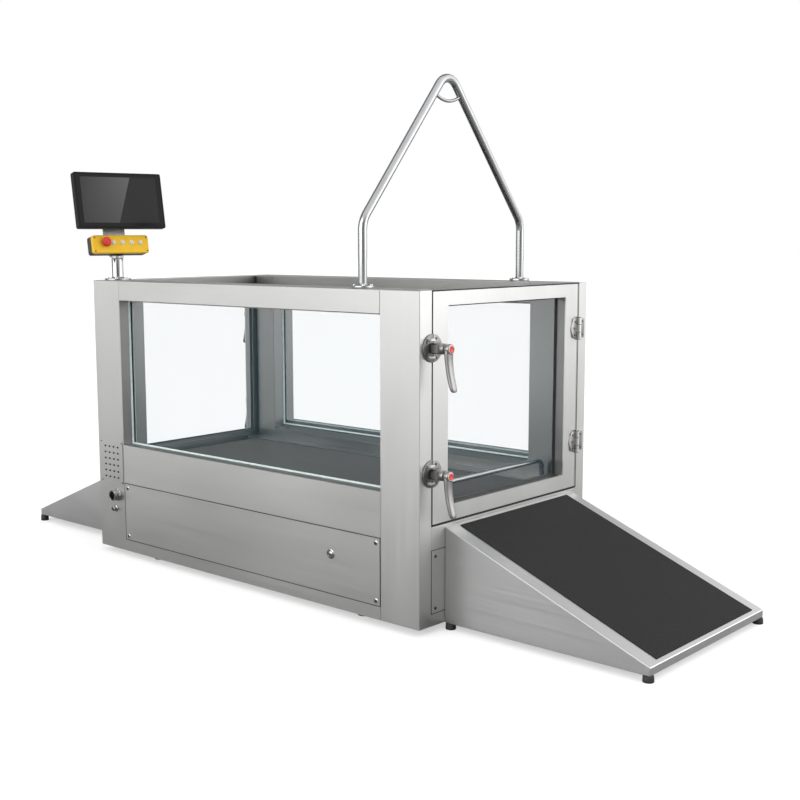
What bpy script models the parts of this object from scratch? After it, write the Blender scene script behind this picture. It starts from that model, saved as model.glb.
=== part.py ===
"""Underwater treadmill for dogs: a glass-sided tank with a belt, a door and a ramp at each end.

Metres, +Z up. The belt runs along X, the control stand is at the front (-Y), and the origin is
on the floor under the middle of the whole footprint. The named sizes are measured from the floor
under the middle of the tank, and everything is moved to the footprint's middle at the end.
"""

import math

import bmesh
import bpy
from mathutils import Matrix, Vector

for old in list(bpy.data.objects):
    bpy.data.objects.remove(old, do_unlink=True)

# Clearances
GAP = 0.0004  # between two pieces that seat on each other
EMBED = 0.002  # how far a welded piece reaches into the one that carries it
RUN = 0.0005  # round a shaft in its bore, or between a moving piece and a fixed one

# Tank housing
TANK_LENGTH = 1.850
TANK_WIDTH = 1.030
TANK_HEIGHT = 1.200
FLOOR_GAP = 0.025
POST_WIDTH = 0.180
WALL_DEPTH = 0.130
CORNER_DEPTH = 0.063
REBATE_DEPTH = 0.065
SHEET = 0.003
FOLD = 0.0018
BEAM_HEIGHT = 0.084
SILL_TOP = 0.493
INNER_SILL_TOP = 0.475
INNER_SILL_FALL = 0.015
PANEL_TOP = 0.324
PANEL_BOTTOM = 0.075
PANEL_SEAM = 0.002
PANEL_RETURN = 0.020
GLASS = 0.012
GLASS_SETBACK = 0.054
GROOVE = 0.010
GROOVE_WALL = 0.004

# Ends below the doors
COVER_TOP = 0.2966
COVER_BOTTOM = 0.069
THRESHOLD_TOP = 0.380

# Base frame, tub and feet
MEMBER = 0.040
CROSS_MEMBERS = (0.325 - TANK_LENGTH / 2, 0.0, TANK_LENGTH / 2 - 0.325)
LONG_MEMBER_Y = 0.300
BEARER_LENGTH = TANK_LENGTH - 0.410
BEARER_DEPTH = 0.040
FOOT_RADIUS = 0.025
FOOT_THICKNESS = 0.010
FOOT_Y = TANK_WIDTH / 2 - 0.075
FOOT_STEM = 0.009
TUB_FLOOR = 0.305
TUB_SIDE_TOP = 0.452
TUB_END_TOP = 0.430

# Treadmill
BELT_TOP = 0.415
BELT_WIDTH = 0.600
BELT_THICKNESS = 0.003
ROLLER_RADIUS = 0.035
ROLLER_X = TANK_LENGTH / 2 - 0.125
SHAFT_RADIUS = 0.010
DECK_THICKNESS = 0.018
DECK_ROLLER_GAP = 0.020
RAIL_TOP = 0.420
RAIL_CLEAR = 0.0035
CROSSBAR_WIDTH = 0.040
CROSSBAR_DEPTH = 0.040
CROSSBARS = tuple(n * (ROLLER_X - 0.200) / 2 for n in (-2, -1, 0, 1, 2))
PULLEY_RADIUS = 0.030
PULLEY_RIM = 0.0345
PULLEY_WIDTH = 0.020
PULLEY_Y = TANK_WIDTH / 2 - 0.065
DRIVE_BELT = 0.0022
DRIVE_BELT_WIDTH = 0.015
MOTOR_Z = 0.160
MOTOR_RADIUS = 0.055
MOTOR_LENGTH = 0.210
MOTOR_SHAFT = 0.008
MOTOR_END_Y = PULLEY_Y - 0.100
MOTOR_PLATE = 0.010

# Guard bar on the rails, lifting arch on the top beams
GUARD_X = TANK_LENGTH / 2 - 0.092
GUARD_Y = 0.355
GUARD_TOP = 0.508
GUARD_RADIUS = 0.010
GUARD_BEND = 0.035
GUARD_FOOT = 0.016
ARCH_X = TANK_LENGTH / 2 - 0.296
ARCH_RADIUS = 0.016
ARCH_WALL = 0.003
ARCH_KNEE = TANK_HEIGHT + 0.235
ARCH_APEX = TANK_HEIGHT + 0.800
ARCH_KNEE_BEND = 0.090
ARCH_APEX_BEND = 0.065
ARCH_FOOT = 0.040
ARCH_FOOT_THICKNESS = 0.010
ARCH_INSET = 0.041
HANG_BAR_Z = ARCH_APEX - 0.094
HANG_BAR_SAG = 0.025
HANG_BAR_RADIUS = 0.006

# Doors
DOOR_BOTTOM = 0.384
DOOR_THICKNESS = 0.055
DOOR_STILE = 0.088
DOOR_BOTTOM_RAIL = 0.0613
DOOR_TOP_RAIL = 0.0543
DOOR_FREE_GAP = 0.0025
DOOR_HINGE_GAP = 0.0015
DOOR_GLASS = 0.010
DOOR_GLASS_BACK = 0.0035
SEAL_LAP = 0.0035
SEAL_WIDTH = 0.056
HINGE_PIN_X = 0.009
HINGE_HEIGHTS = (TANK_HEIGHT - 0.1786, DOOR_BOTTOM + 0.1866)
HINGE_LEAF = 0.004
HINGE_HALF = 0.042
HINGE_BARREL = 0.0085
HINGE_PIN = 0.0045
HINGE_DOOR_KNUCKLE = 0.015
HINGE_POST_LEAF = 0.045
HINGE_DOOR_LEAF = 0.040
LATCH_HEIGHTS = (TANK_HEIGHT - 0.196, DOOR_BOTTOM + 0.186)
LATCH_PLATE_RADIUS = 0.048
LATCH_PLATE = 0.005
LATCH_BLOCK = 0.036
LATCH_BLOCK_DEPTH = 0.037
LATCH_COLLAR = 0.017
LATCH_COLLAR_DEPTH = 0.017
KEEPER_EAR = 0.010
KEEPER_DEPTH = 0.016
LEVER_HUB = 0.018
LEVER_HUB_DEPTH = 0.0247
LEVER_LENGTH = 0.145
LEVER_THICKNESS = 0.015
LEVER_ROOT = 0.032
LEVER_TIP = 0.024
LEVER_FLARE = 0.028
RELEASE_RADIUS = 0.0108
RELEASE_LENGTH = 0.007
RELEASE_TRAVEL = 0.003
RELEASE_PROUD = 0.0025

# Front fittings of the left post and the access panel
VENT_X = 0.0975 - TANK_LENGTH / 2
VENT_Z = 0.410
VENT_WIDTH = 0.155
VENT_HEIGHT = 0.190
VENT_THICKNESS = 0.0025
VENT_COLUMNS = 4
VENT_ROWS = 6
VENT_PITCH_X = 0.0295
VENT_PITCH_Z = 0.0269
VENT_HOLE = 0.0045
OUTLET_X = 0.128 - TANK_LENGTH / 2
OUTLET_Z = 0.267
OUTLET_RADIUS = 0.021
OUTLET_WALL = 0.0025
OUTLET_PROUD = 0.030
OUTLET_COLLAR = 0.027
OUTLET_DRAIN_Y = -0.250
OUTLET_BEND = 0.032
OUTLET_FLANGE = 0.032
NIPPLE_X = 0.114 - TANK_LENGTH / 2
NIPPLE_Z = 0.204
NIPPLE_RADIUS = 0.009
NIPPLE_BORE = 0.006
NIPPLE_PROUD = 0.018
PLUG_X = TANK_LENGTH / 2 - 0.4243
PLUG_Z = 0.2265
PLUG_RADIUS = 0.019
PLUG_STEM = 0.0145

# Control stand
STAND_X = 0.090 - TANK_LENGTH / 2
STAND_Y = 0.065 - TANK_WIDTH / 2
STAND_RADIUS = 0.0245
STAND_TOP = TANK_HEIGHT + 0.0955
STAND_FLANGE = 0.055
STAND_FLANGE_THICKNESS = 0.008
SPIGOT_RADIUS = 0.015
SPIGOT_DEPTH = 0.050
HEAD_TURN = -12.0
HEAD_TILT = 11.0
HEAD_Z = STAND_TOP + 0.0145
CAP_RADIUS = 0.027
CAP_THICKNESS = 0.0077
BACKPLATE_WIDTH = 0.100
BACKPLATE_REAR = -0.012
BACKPLATE = 0.004
BACKPLATE_TOP = 0.250
BOX_WIDTH = 0.256
BOX_HEIGHT = 0.078
BOX_CENTRE = 0.0356
BOX_DEPTH = 0.0384
LID_DEPTH = 0.022
BOX_CORNER = 0.010
STOP_S = -0.070
STOP_U = 0.044
STOP_RADIUS = 0.020
STOP_STEM = 0.0115
STOP_TRAVEL = 0.004
KEY_S = -0.033
KEY_U = 0.042
KEY_PITCH = 0.0407
KEY_RADIUS = 0.0074
KEY_TRAVEL = 0.003
KEY_PROUD = 0.0045
KEY_WELL = 0.0125
SCREEN_CENTRE = 0.216
MONITOR_WIDTH = 0.400
MONITOR_HEIGHT = 0.238
MONITOR_DEPTH = 0.030
MONITOR_FRONT = 0.093
MONITOR_BEZEL = 0.0085
MONITOR_CORNER = 0.008
SCREEN_GLASS = 0.003
TILT_PIVOT = 0.012
TILT_BLOCK = 0.036
TILT_PIN = 0.006
TILT_EAR = 0.005

# Ramps: (reach, height at the tank, lip height, underside)
RAMP_RIGHT = (0.8146, 0.3695, 0.050, 0.022)
RAMP_LEFT = (0.7046, 0.349, 0.057, 0.029)
RAMP_FRONT = -0.375
RAMP_BACK = 0.430
RAMP_RETURN = 0.025
RAMP_FOOT_RADIUS = 0.0175
RAMP_FOOT_INSET = 0.0125
MAT_THICKNESS = 0.0025
MAT_FRONT = 0.070
MAT_BACK = 0.055
MAT_TOP_EDGE = 0.014
MAT_LIP = 0.016

FOOTPRINT_MIDDLE = Vector(((RAMP_RIGHT[0] - RAMP_LEFT[0]) / 2, -0.0725, 0.0))

END_X = TANK_LENGTH / 2
SIDE_Y = TANK_WIDTH / 2
SEAM_X = END_X - POST_WIDTH
INNER_Y = SIDE_Y - WALL_DEPTH
DOORWAY_Y = SIDE_Y - CORNER_DEPTH
REBATE_X = END_X - REBATE_DEPTH
BEAM_BOTTOM = TANK_HEIGHT - BEAM_HEIGHT
GLASS_OUT = SIDE_Y - GLASS_SETBACK
GLASS_IN = GLASS_OUT - GLASS
GLASS_BOTTOM = INNER_SILL_TOP - GROOVE
BASE_TOP = PANEL_BOTTOM - GAP
ROLLER_Z = BELT_TOP - BELT_THICKNESS - GAP - ROLLER_RADIUS
HINGE_X = END_X + HINGE_PIN_X
HINGE_Y = DOORWAY_Y - DOOR_HINGE_GAP / 2
LATCH_Y = -(DOORWAY_Y - DOOR_FREE_GAP / 2 - 0.001)


def colour(code):
    """Linear red, green and blue of an sRGB hex code."""
    parts = [int(code[i : i + 2], 16) / 255 for i in (1, 3, 5)]
    return tuple(p / 12.92 if p <= 0.04045 else ((p + 0.055) / 1.055) ** 2.4 for p in parts)


def material(name, code, roughness, metallic):
    made = bpy.data.materials.new(name)
    made.use_nodes = True
    shader = made.node_tree.nodes["Principled BSDF"]
    shader.inputs["Base Color"].default_value = (*colour(code), 1.0)
    shader.inputs["Roughness"].default_value = roughness
    shader.inputs["Metallic"].default_value = metallic
    made.diffuse_color = (*colour(code), 1.0)
    return made


STEEL = material("brushed stainless steel", "#C9C9C6", 0.35, 1.0)
BRIGHT = material("polished stainless steel", "#D8D9DA", 0.18, 1.0)
CHROME = material("satin chrome", "#D0D0D2", 0.22, 1.0)
PAINTED = material("painted steel", "#6E7073", 0.50, 0.3)
CLEAR = material("clear glass", "#BFD3D2", 0.05, 0.0)
RUBBER = material("black rubber", "#202022", 0.75, 0.0)
BELTING = material("belt rubber", "#2B2D30", 0.80, 0.0)
BOARD = material("deck board", "#4A4038", 0.60, 0.0)
BLACK = material("black plastic", "#1A1B1D", 0.40, 0.0)
DARK = material("dark grey plastic", "#3A3C40", 0.50, 0.0)
YELLOW = material("yellow plastic", "#E8C21B", 0.45, 0.0)
RED = material("red plastic", "#C6262B", 0.40, 0.0)
SCREEN = material("dark screen glass", "#0C0E12", 0.08, 0.0)
GREY = material("grey plastic", "#8E9195", 0.45, 0.0)


def add(name, mesh, look):
    """An object from a bmesh, with faces out, smooth over shallow angles and sharp at edges."""
    bmesh.ops.recalc_face_normals(mesh, faces=mesh.faces)
    data = bpy.data.meshes.new(name)
    mesh.to_mesh(data)
    mesh.free()
    data.shade_smooth()
    data.set_sharp_from_angle(angle=math.radians(35))
    if look:
        data.materials.append(look)
    made = bpy.data.objects.new(name, data)
    bpy.context.scene.collection.objects.link(made)
    return made


def guide(made):
    """Marks an object as a helper that a Boolean uses and no render shows."""
    made.hide_render = True
    made.display_type = "WIRE"
    return made


AXES = {
    "X": lambda a, b, h: (h, a, b),
    "Y": lambda a, b, h: (a, h, b),
    "Z": lambda a, b, h: (a, b, h),
}


def prism(name, outline, axis, low, high, look=None):
    """The outline extruded along an axis; its two numbers are the other two coordinates in order."""
    mesh = bmesh.new()
    place = AXES[axis]
    ends = [[mesh.verts.new(place(a, b, h)) for a, b in outline] for h in (low, high)]
    for ring in ends:
        mesh.faces.new(ring)
    count = len(outline)
    for i in range(count):
        j = (i + 1) % count
        mesh.faces.new((ends[0][i], ends[0][j], ends[1][j], ends[1][i]))
    return add(name, mesh, look)


def rectangle(a0, a1, b0, b1):
    return [(a0, b0), (a1, b0), (a1, b1), (a0, b1)]


def box(name, xs, ys, zs, look=None):
    return prism(name, rectangle(*sorted(xs), *sorted(ys)), "Z", *sorted(zs), look)


def rounded(a0, a1, b0, b1, radius, steps=4):
    """A rectangle's outline with round corners."""
    points = []
    for ca, cb, start in (
        (a1 - radius, b1 - radius, 0),
        (a0 + radius, b1 - radius, 90),
        (a0 + radius, b0 + radius, 180),
        (a1 - radius, b0 + radius, 270),
    ):
        for i in range(steps + 1):
            turn = math.radians(start + 90 * i / steps)
            points.append((ca + radius * math.cos(turn), cb + radius * math.sin(turn)))
    return points


def circle(a, b, radius, steps=12):
    turns = [2 * math.pi * i / steps for i in range(steps)]
    return [(a + radius * math.cos(t), b + radius * math.sin(t)) for t in turns]


def bore(a, b, radius, steps=12):
    """A circle whose facets lie outside the radius, so a round shaft clears it."""
    return circle(a, b, radius / math.cos(math.pi / steps), steps)


def half_disc(a, b, radius, side, steps=10):
    """A half circle about (a, b), its straight side on a and its bulge towards side."""
    turns = [math.pi * (i / steps - 0.5) for i in range(steps + 1)]
    return [(a + side * radius * math.cos(t), b + radius * math.sin(t)) for t in turns]


def window_frame(name, outer, inner, low, high, look=None):
    """A rectangular ring standing in the YZ plane, from X low to high."""
    mesh = bmesh.new()
    rings = [
        [mesh.verts.new((x, y, z)) for y, z in rectangle(*side)]
        for x in (low, high)
        for side in (outer, inner)
    ]
    for i in range(4):
        j = (i + 1) % 4
        for first, second in ((0, 1), (3, 2), (2, 0), (1, 3)):
            mesh.faces.new((rings[first][i], rings[first][j], rings[second][j], rings[second][i]))
    return add(name, mesh, look)


def loft(name, rings, look=None, closed=False):
    """A skin over rings of as many points each, with flat ends unless it closes on itself."""
    mesh = bmesh.new()
    made = [[mesh.verts.new(p) for p in ring] for ring in rings]
    count = len(rings[0])
    for k in range(len(made) if closed else len(made) - 1):
        first, second = made[k], made[(k + 1) % len(made)]
        for i in range(count):
            j = (i + 1) % count
            mesh.faces.new((first[i], first[j], second[j], second[i]))
    if not closed:
        mesh.faces.new(made[0])
        mesh.faces.new(made[-1])
    return add(name, mesh, look)


def turned(name, profile, axis, centre, look=None, steps=14):
    """A solid of revolution. The profile lists (radius, height along the axis), open ends closed flat."""
    place = AXES[axis]
    a0, b0, h0 = {
        "X": (centre[1], centre[2], centre[0]),
        "Y": (centre[0], centre[2], centre[1]),
        "Z": (centre[0], centre[1], centre[2]),
    }[axis]
    rings = []
    for radius, height in profile:
        outline = circle(a0, b0, radius, steps)
        rings.append([Vector(place(a, b, h0 + height)) for a, b in outline])
    return loft(name, rings, look)


def band(name, centres, radius, thickness, y_range, look, steps=10):
    """A flat belt round two rollers whose axes run along Y; its facets touch the circle from outside."""
    (x0, z0), (x1, z1) = centres
    lean = math.atan2(z1 - z0, x1 - x0)
    outline = []
    out = 1 / math.cos(math.pi / steps / 2)
    for (x, z), start in (((x1, z1), -90), ((x0, z0), 90)):
        for i in range(steps):
            turn = lean + math.radians(start + 180 * (i + 0.5) / steps)
            outline.append((x, z, out * math.cos(turn), out * math.sin(turn)))
    rings = []
    for x, z, c, s in outline:
        near, far = radius, radius + thickness
        rings.append(
            [
                (x + near * c, y_range[0], z + near * s),
                (x + far * c, y_range[0], z + far * s),
                (x + far * c, y_range[1], z + far * s),
                (x + near * c, y_range[1], z + near * s),
            ]
        )
    return loft(name, rings, look, closed=True)


def bent(points, bends, steps=4):
    """A path through the points, with each inner corner rounded to its bend radius."""
    path = [Vector(points[0])]
    for i in range(1, len(points) - 1):
        corner = Vector(points[i])
        back = (Vector(points[i - 1]) - corner).normalized()
        ahead = (Vector(points[i + 1]) - corner).normalized()
        half = back.angle(ahead) / 2
        centre = corner + (back + ahead).normalized() * bends[i - 1] / math.sin(half)
        reach = bends[i - 1] / math.tan(half)
        start, end = corner + back * reach - centre, corner + ahead * reach - centre
        for k in range(steps + 1):
            path.append(centre + start.slerp(end, k / steps).normalized() * bends[i - 1])
    path.append(Vector(points[-1]))
    return path


def tube(name, path, radius, look=None, steps=12, side=Vector((1, 0, 0))):
    """A round bar along a path that lies in a plane square to side."""
    rings = []
    for i, point in enumerate(path):
        before = (point - path[i - 1]).normalized() if i else None
        after = (path[i + 1] - point).normalized() if i + 1 < len(path) else None
        along = (before + after).normalized() if before and after else before or after
        stretch = 1 / math.cos(before.angle(after) / 2) if before and after else 1
        across = along.cross(side)
        ring = []
        for k in range(steps):
            turn = 2 * math.pi * k / steps
            ring.append(
                point + radius * (side * math.cos(turn) + across * stretch * math.sin(turn))
            )
        rings.append(ring)
    return loft(name, rings, look)


def combine(target, helpers, operation):
    for helper in helpers:
        step = target.modifiers.new(operation.lower(), "BOOLEAN")
        step.operation = operation
        step.solver = "EXACT"
        step.object = guide(helper)
    return target


def cut(target, *helpers):
    return combine(target, helpers, "DIFFERENCE")


def fuse(target, *helpers):
    return combine(target, helpers, "UNION")


def soften(target, width, steps=1, angle=40):
    edge = target.modifiers.new("edges", "BEVEL")
    edge.width = width
    edge.segments = steps
    edge.limit_method = "ANGLE"
    edge.angle_limit = math.radians(angle)
    return target


def pivot(name, point):
    made = bpy.data.objects.new(name, None)
    made.location = point
    bpy.context.scene.collection.objects.link(made)
    bpy.context.view_layer.update()
    return made


def carry(holder, *riders):
    """Parents pieces to their joint's empty, where they already stand."""
    for rider in riders:
        rider.parent = holder
        rider.matrix_parent_inverse = holder.matrix_world.inverted()


def flip(outline, sx, sy):
    return [(a * sx, b * sy) for a, b in outline]


def shaft_hole(x, y_range, z, radius):
    return prism("hole", bore(x, z, radius), "Y", *sorted(y_range))


def post(name, sx, sy):
    """Folded corner post: hollow, open below, with the door rebate and the side glass groove."""
    plan = rectangle(SEAM_X, END_X, INNER_Y, SIDE_Y)
    web = SEAM_X + GROOVE + GROOVE_WALL
    hollow = [
        (web, SIDE_Y - SHEET),
        (END_X - SHEET, SIDE_Y - SHEET),
        (END_X - SHEET, DOORWAY_Y + SHEET),
        (REBATE_X - SHEET, DOORWAY_Y + SHEET),
        (REBATE_X - SHEET, INNER_Y + SHEET),
        (web, INNER_Y + SHEET),
    ]
    made = prism(name, flip(plan, sx, sy), "Z", FLOOR_GAP, TANK_HEIGHT, STEEL)
    soften(made, FOLD)
    inside = prism("hollow", flip(hollow, sx, sy), "Z", FLOOR_GAP - SHEET, TANK_HEIGHT - SHEET)
    rebate = box(
        "rebate",
        (sx * REBATE_X, sx * (END_X + SHEET)),
        (sy * (INNER_Y - SHEET), sy * DOORWAY_Y),
        (FLOOR_GAP - SHEET, TANK_HEIGHT + SHEET),
    )
    groove = box(
        "groove",
        (sx * (SEAM_X - SHEET), sx * (SEAM_X + GROOVE + GAP)),
        (sy * (GLASS_IN - GAP), sy * (GLASS_OUT + GAP)),
        (GLASS_BOTTOM - GAP, BEAM_BOTTOM + GROOVE + GAP),
    )
    return cut(made, inside, rebate, groove)


def top_beam(name, sy):
    """Box section along the top, open at its ends, with the glass groove in its underside."""
    reach = SEAM_X - GAP
    made = box(
        name, (-reach, reach), (sy * INNER_Y, sy * SIDE_Y), (BEAM_BOTTOM, TANK_HEIGHT), STEEL
    )
    soften(made, FOLD)
    inside = box(
        "hollow",
        (-TANK_LENGTH, TANK_LENGTH),
        (sy * (INNER_Y + SHEET), sy * (SIDE_Y - SHEET)),
        (BEAM_BOTTOM + GROOVE + GROOVE_WALL, TANK_HEIGHT - SHEET),
    )
    groove = box(
        "groove",
        (-TANK_LENGTH, TANK_LENGTH),
        (sy * (GLASS_IN - GAP), sy * (GLASS_OUT + GAP)),
        (BEAM_BOTTOM - SHEET, BEAM_BOTTOM + GROOVE + GAP),
    )
    return cut(made, inside, groove)


def lower_panel(name, sy):
    """Sill rail below a side window: level outside the glass, falling to the tub inside it."""
    reach = SEAM_X - GAP
    seat = GLASS_BOTTOM - GAP
    inner = INNER_Y + GAP
    section = [
        (SIDE_Y, PANEL_TOP + GAP),
        (SIDE_Y, SILL_TOP),
        (GLASS_OUT - GLASS / 2, SILL_TOP),
        (GLASS_OUT - GLASS / 2, INNER_SILL_TOP),
        (inner, INNER_SILL_TOP - INNER_SILL_FALL),
        (inner, PANEL_TOP + GAP),
    ]
    low = PANEL_TOP + GAP + SHEET
    under = seat - SHEET
    hollow = [
        (SIDE_Y - SHEET, low),
        (SIDE_Y - SHEET, SILL_TOP - SHEET),
        (GLASS_OUT + GAP + SHEET, SILL_TOP - SHEET),
        (GLASS_OUT + GAP + SHEET, under),
        (GLASS_IN - GAP - SHEET, under),
        (inner + SHEET, INNER_SILL_TOP - INNER_SILL_FALL - SHEET),
        (inner + SHEET, low),
    ]
    made = prism(name, [(y * sy, z) for y, z in section], "X", -reach, reach, STEEL)
    soften(made, FOLD)
    inside = [(y * sy, z) for y, z in hollow]
    groove = box(
        "groove",
        (-TANK_LENGTH, TANK_LENGTH),
        (sy * (GLASS_IN - GAP), sy * (GLASS_OUT + GAP)),
        (seat, SILL_TOP + SHEET),
    )
    return cut(made, prism("hollow", inside, "X", -TANK_LENGTH, TANK_LENGTH), groove)


def tray(name, axis_face, spans, depth, look):
    """A folded cover pan: a face with a return all round, open towards the inside of the housing."""
    axis, face = axis_face
    (a0, a1), (b0, b1) = spans
    side = 1 if face > 0 else -1
    rear = face - side * depth
    made = prism(name, rectangle(a0, a1, b0, b1), axis, *sorted((face, rear)), look)
    soften(made, FOLD)
    inner = rectangle(a0 + SHEET, a1 - SHEET, b0 + SHEET, b1 - SHEET)
    behind = rear - side * SHEET
    return cut(made, prism("pan", inner, axis, *sorted((face - side * SHEET, behind))))


def housing():
    """Corner posts, beams, sill rails, covers and glass."""
    posts = {}
    for end, sx in (("left", -1), ("right", 1)):
        for face, sy in (("front", -1), ("back", 1)):
            posts[face, end] = post(f"post_{face}_{end}", sx, sy)
    for face, sy in (("front", -1), ("back", 1)):
        top_beam(f"top_beam_{face}", sy)
        panel = lower_panel(f"lower_panel_{face}", sy)
        if sy > 0:
            skirt = box(
                "skirt",
                (-SEAM_X + PANEL_SEAM, SEAM_X - PANEL_SEAM),
                (SIDE_Y - SHEET, SIDE_Y),
                (PANEL_BOTTOM, PANEL_TOP + GAP + EMBED),
            )
            fuse(panel, skirt)
        box(
            f"window_{face}",
            (-SEAM_X - GROOVE, SEAM_X + GROOVE),
            (sy * GLASS_IN, sy * GLASS_OUT),
            (GLASS_BOTTOM, BEAM_BOTTOM + GROOVE),
            CLEAR,
        )
    panel = tray(
        "access_panel",
        ("Y", -SIDE_Y),
        ((-SEAM_X + PANEL_SEAM, SEAM_X - PANEL_SEAM), (PANEL_BOTTOM, PANEL_TOP)),
        PANEL_RETURN,
        STEEL,
    )
    cut(panel, shaft_hole(PLUG_X, (-SIDE_Y - SHEET, -SIDE_Y + 2 * SHEET), PLUG_Z, PLUG_STEM + GAP))
    turned(
        "sight_plug",
        [
            (PLUG_STEM, 0.012),
            (PLUG_STEM, -GAP),
            (PLUG_RADIUS, -GAP),
            (PLUG_RADIUS, -0.0022),
            (PLUG_RADIUS - 0.0015, -0.0036),
            (PLUG_RADIUS - 0.006, -0.0036),
            (PLUG_RADIUS - 0.007, -0.0026),
        ],
        "Y",
        (PLUG_X, -SIDE_Y, PLUG_Z),
        GREY,
    )
    return posts


def end_panels():
    """Thresholds under the doors and the service covers below them."""
    reach = DOORWAY_Y - GAP
    lip = REBATE_X + GAP
    sill = [
        (END_X, COVER_TOP + GAP),
        (END_X, THRESHOLD_TOP),
        (lip, THRESHOLD_TOP),
        (lip, THRESHOLD_TOP - SHEET),
        (END_X - SHEET, THRESHOLD_TOP - SHEET),
        (END_X - SHEET, COVER_TOP + GAP),
    ]
    soften(prism("end_panel_right", sill, "Y", -reach, reach, STEEL), FOLD / 2)
    spans = ((-reach + PANEL_SEAM, reach - PANEL_SEAM), (COVER_BOTTOM, COVER_TOP))
    tray("end_cover_right", ("X", END_X), spans, PANEL_RETURN, STEEL)
    low = COVER_BOTTOM
    channel = [
        (-END_X, low),
        (-END_X, THRESHOLD_TOP),
        (-lip, THRESHOLD_TOP),
        (-lip, THRESHOLD_TOP - SHEET),
        (-END_X + SHEET, THRESHOLD_TOP - SHEET),
        (-END_X + SHEET, low + SHEET),
        (-END_X + PANEL_RETURN, low + SHEET),
        (-END_X + PANEL_RETURN, low),
    ]
    soften(prism("end_panel_left", channel, "Y", -reach, reach, STEEL), FOLD / 2)


def base():
    """Welded frame on four levelling feet, and the tub that it carries."""
    low, inset = FLOOR_GAP, 0.001
    side = (SIDE_Y - MEMBER, SIDE_Y)
    reach = SEAM_X - GAP
    end_top = COVER_BOTTOM - GAP
    made = box("base_frame", (-reach, reach), (-side[0], -side[1]), (low, BASE_TOP), STEEL)
    bearer_low = TUB_FLOOR - GAP - BEARER_DEPTH
    half = MEMBER / 2
    members = [box("member", (-reach, reach), side, (low, BASE_TOP))]
    for x in CROSS_MEMBERS:
        cross = SIDE_Y - MEMBER / 2
        members.append(
            box("member", (x - half, x + half), (-cross, cross), (low + inset, end_top - inset))
        )
    for sy in (-1, 1):
        line = (sy * LONG_MEMBER_Y - half, sy * LONG_MEMBER_Y + half)
        end = END_X - MEMBER / 2
        members.append(box("member", (-end, end), line, (low + 2 * inset, end_top - 2 * inset)))
        for x in CROSS_MEMBERS:
            tall = (low + 3 * inset, bearer_low + MEMBER / 2)
            post_x = (x - half + inset, x + half - inset)
            members.append(box("member", post_x, (line[0] + inset, line[1] - inset), tall))
        bearer = (bearer_low, TUB_FLOOR - GAP)
        members.append(box("member", (-BEARER_LENGTH / 2, BEARER_LENGTH / 2), line, bearer))
    for sx in (-1, 1):
        end = (sx * (END_X - MEMBER), sx * END_X)
        reach_y = DOORWAY_Y - GAP
        members.append(box("member", end, (-reach_y, reach_y), (low, end_top)))
    bed = (MOTOR_END_Y - MOTOR_LENGTH - 0.01, MOTOR_END_Y + 0.008)
    bed_x = (-ROLLER_X - MOTOR_RADIUS - 0.012, -ROLLER_X + MOTOR_RADIUS + 0.012)
    members.append(box("motor bed", bed_x, bed, (end_top - MOTOR_PLATE, end_top + inset)))
    for x in (CROSS_MEMBERS[0], CROSS_MEMBERS[-1]):
        for sy in (-1, 1):
            foot = [
                (FOOT_RADIUS, 0),
                (FOOT_RADIUS, FOOT_THICKNESS * 0.6),
                (FOOT_STEM, FOOT_THICKNESS),
                (FOOT_STEM, FLOOR_GAP + MEMBER / 2),
            ]
            members.append(turned("foot", foot, "Z", (x, sy * FOOT_Y, 0), steps=10))
    fuse(made, *members)

    wide, long = INNER_Y - GAP, REBATE_X - GAP
    tub = box("tub", (-long, long), (-wide, wide), (TUB_FLOOR, TUB_SIDE_TOP), STEEL)
    inside = box(
        "hollow",
        (-long + SHEET, long - SHEET),
        (-wide + SHEET, wide - SHEET),
        (TUB_FLOOR + SHEET, TUB_SIDE_TOP + SHEET),
    )
    ends = [
        box(
            "end notch",
            (sx * (long + SHEET), sx * (long - 2 * SHEET)),
            (-TANK_WIDTH, TANK_WIDTH),
            (TUB_END_TOP, TUB_SIDE_TOP + SHEET),
        )
        for sx in (-1, 1)
    ]
    shaft = shaft_hole(-ROLLER_X, (wide - 2 * SHEET, wide + SHEET), ROLLER_Z, SHAFT_RADIUS + RUN)
    drain_radius = OUTLET_RADIUS - OUTLET_WALL
    drain = prism(
        "drain",
        circle(OUTLET_X, OUTLET_DRAIN_Y, drain_radius),
        "Z",
        TUB_FLOOR - SHEET,
        TUB_FLOOR + 2 * SHEET,
    )
    cut(tub, inside, *ends, shaft, drain)
    return made


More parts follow.
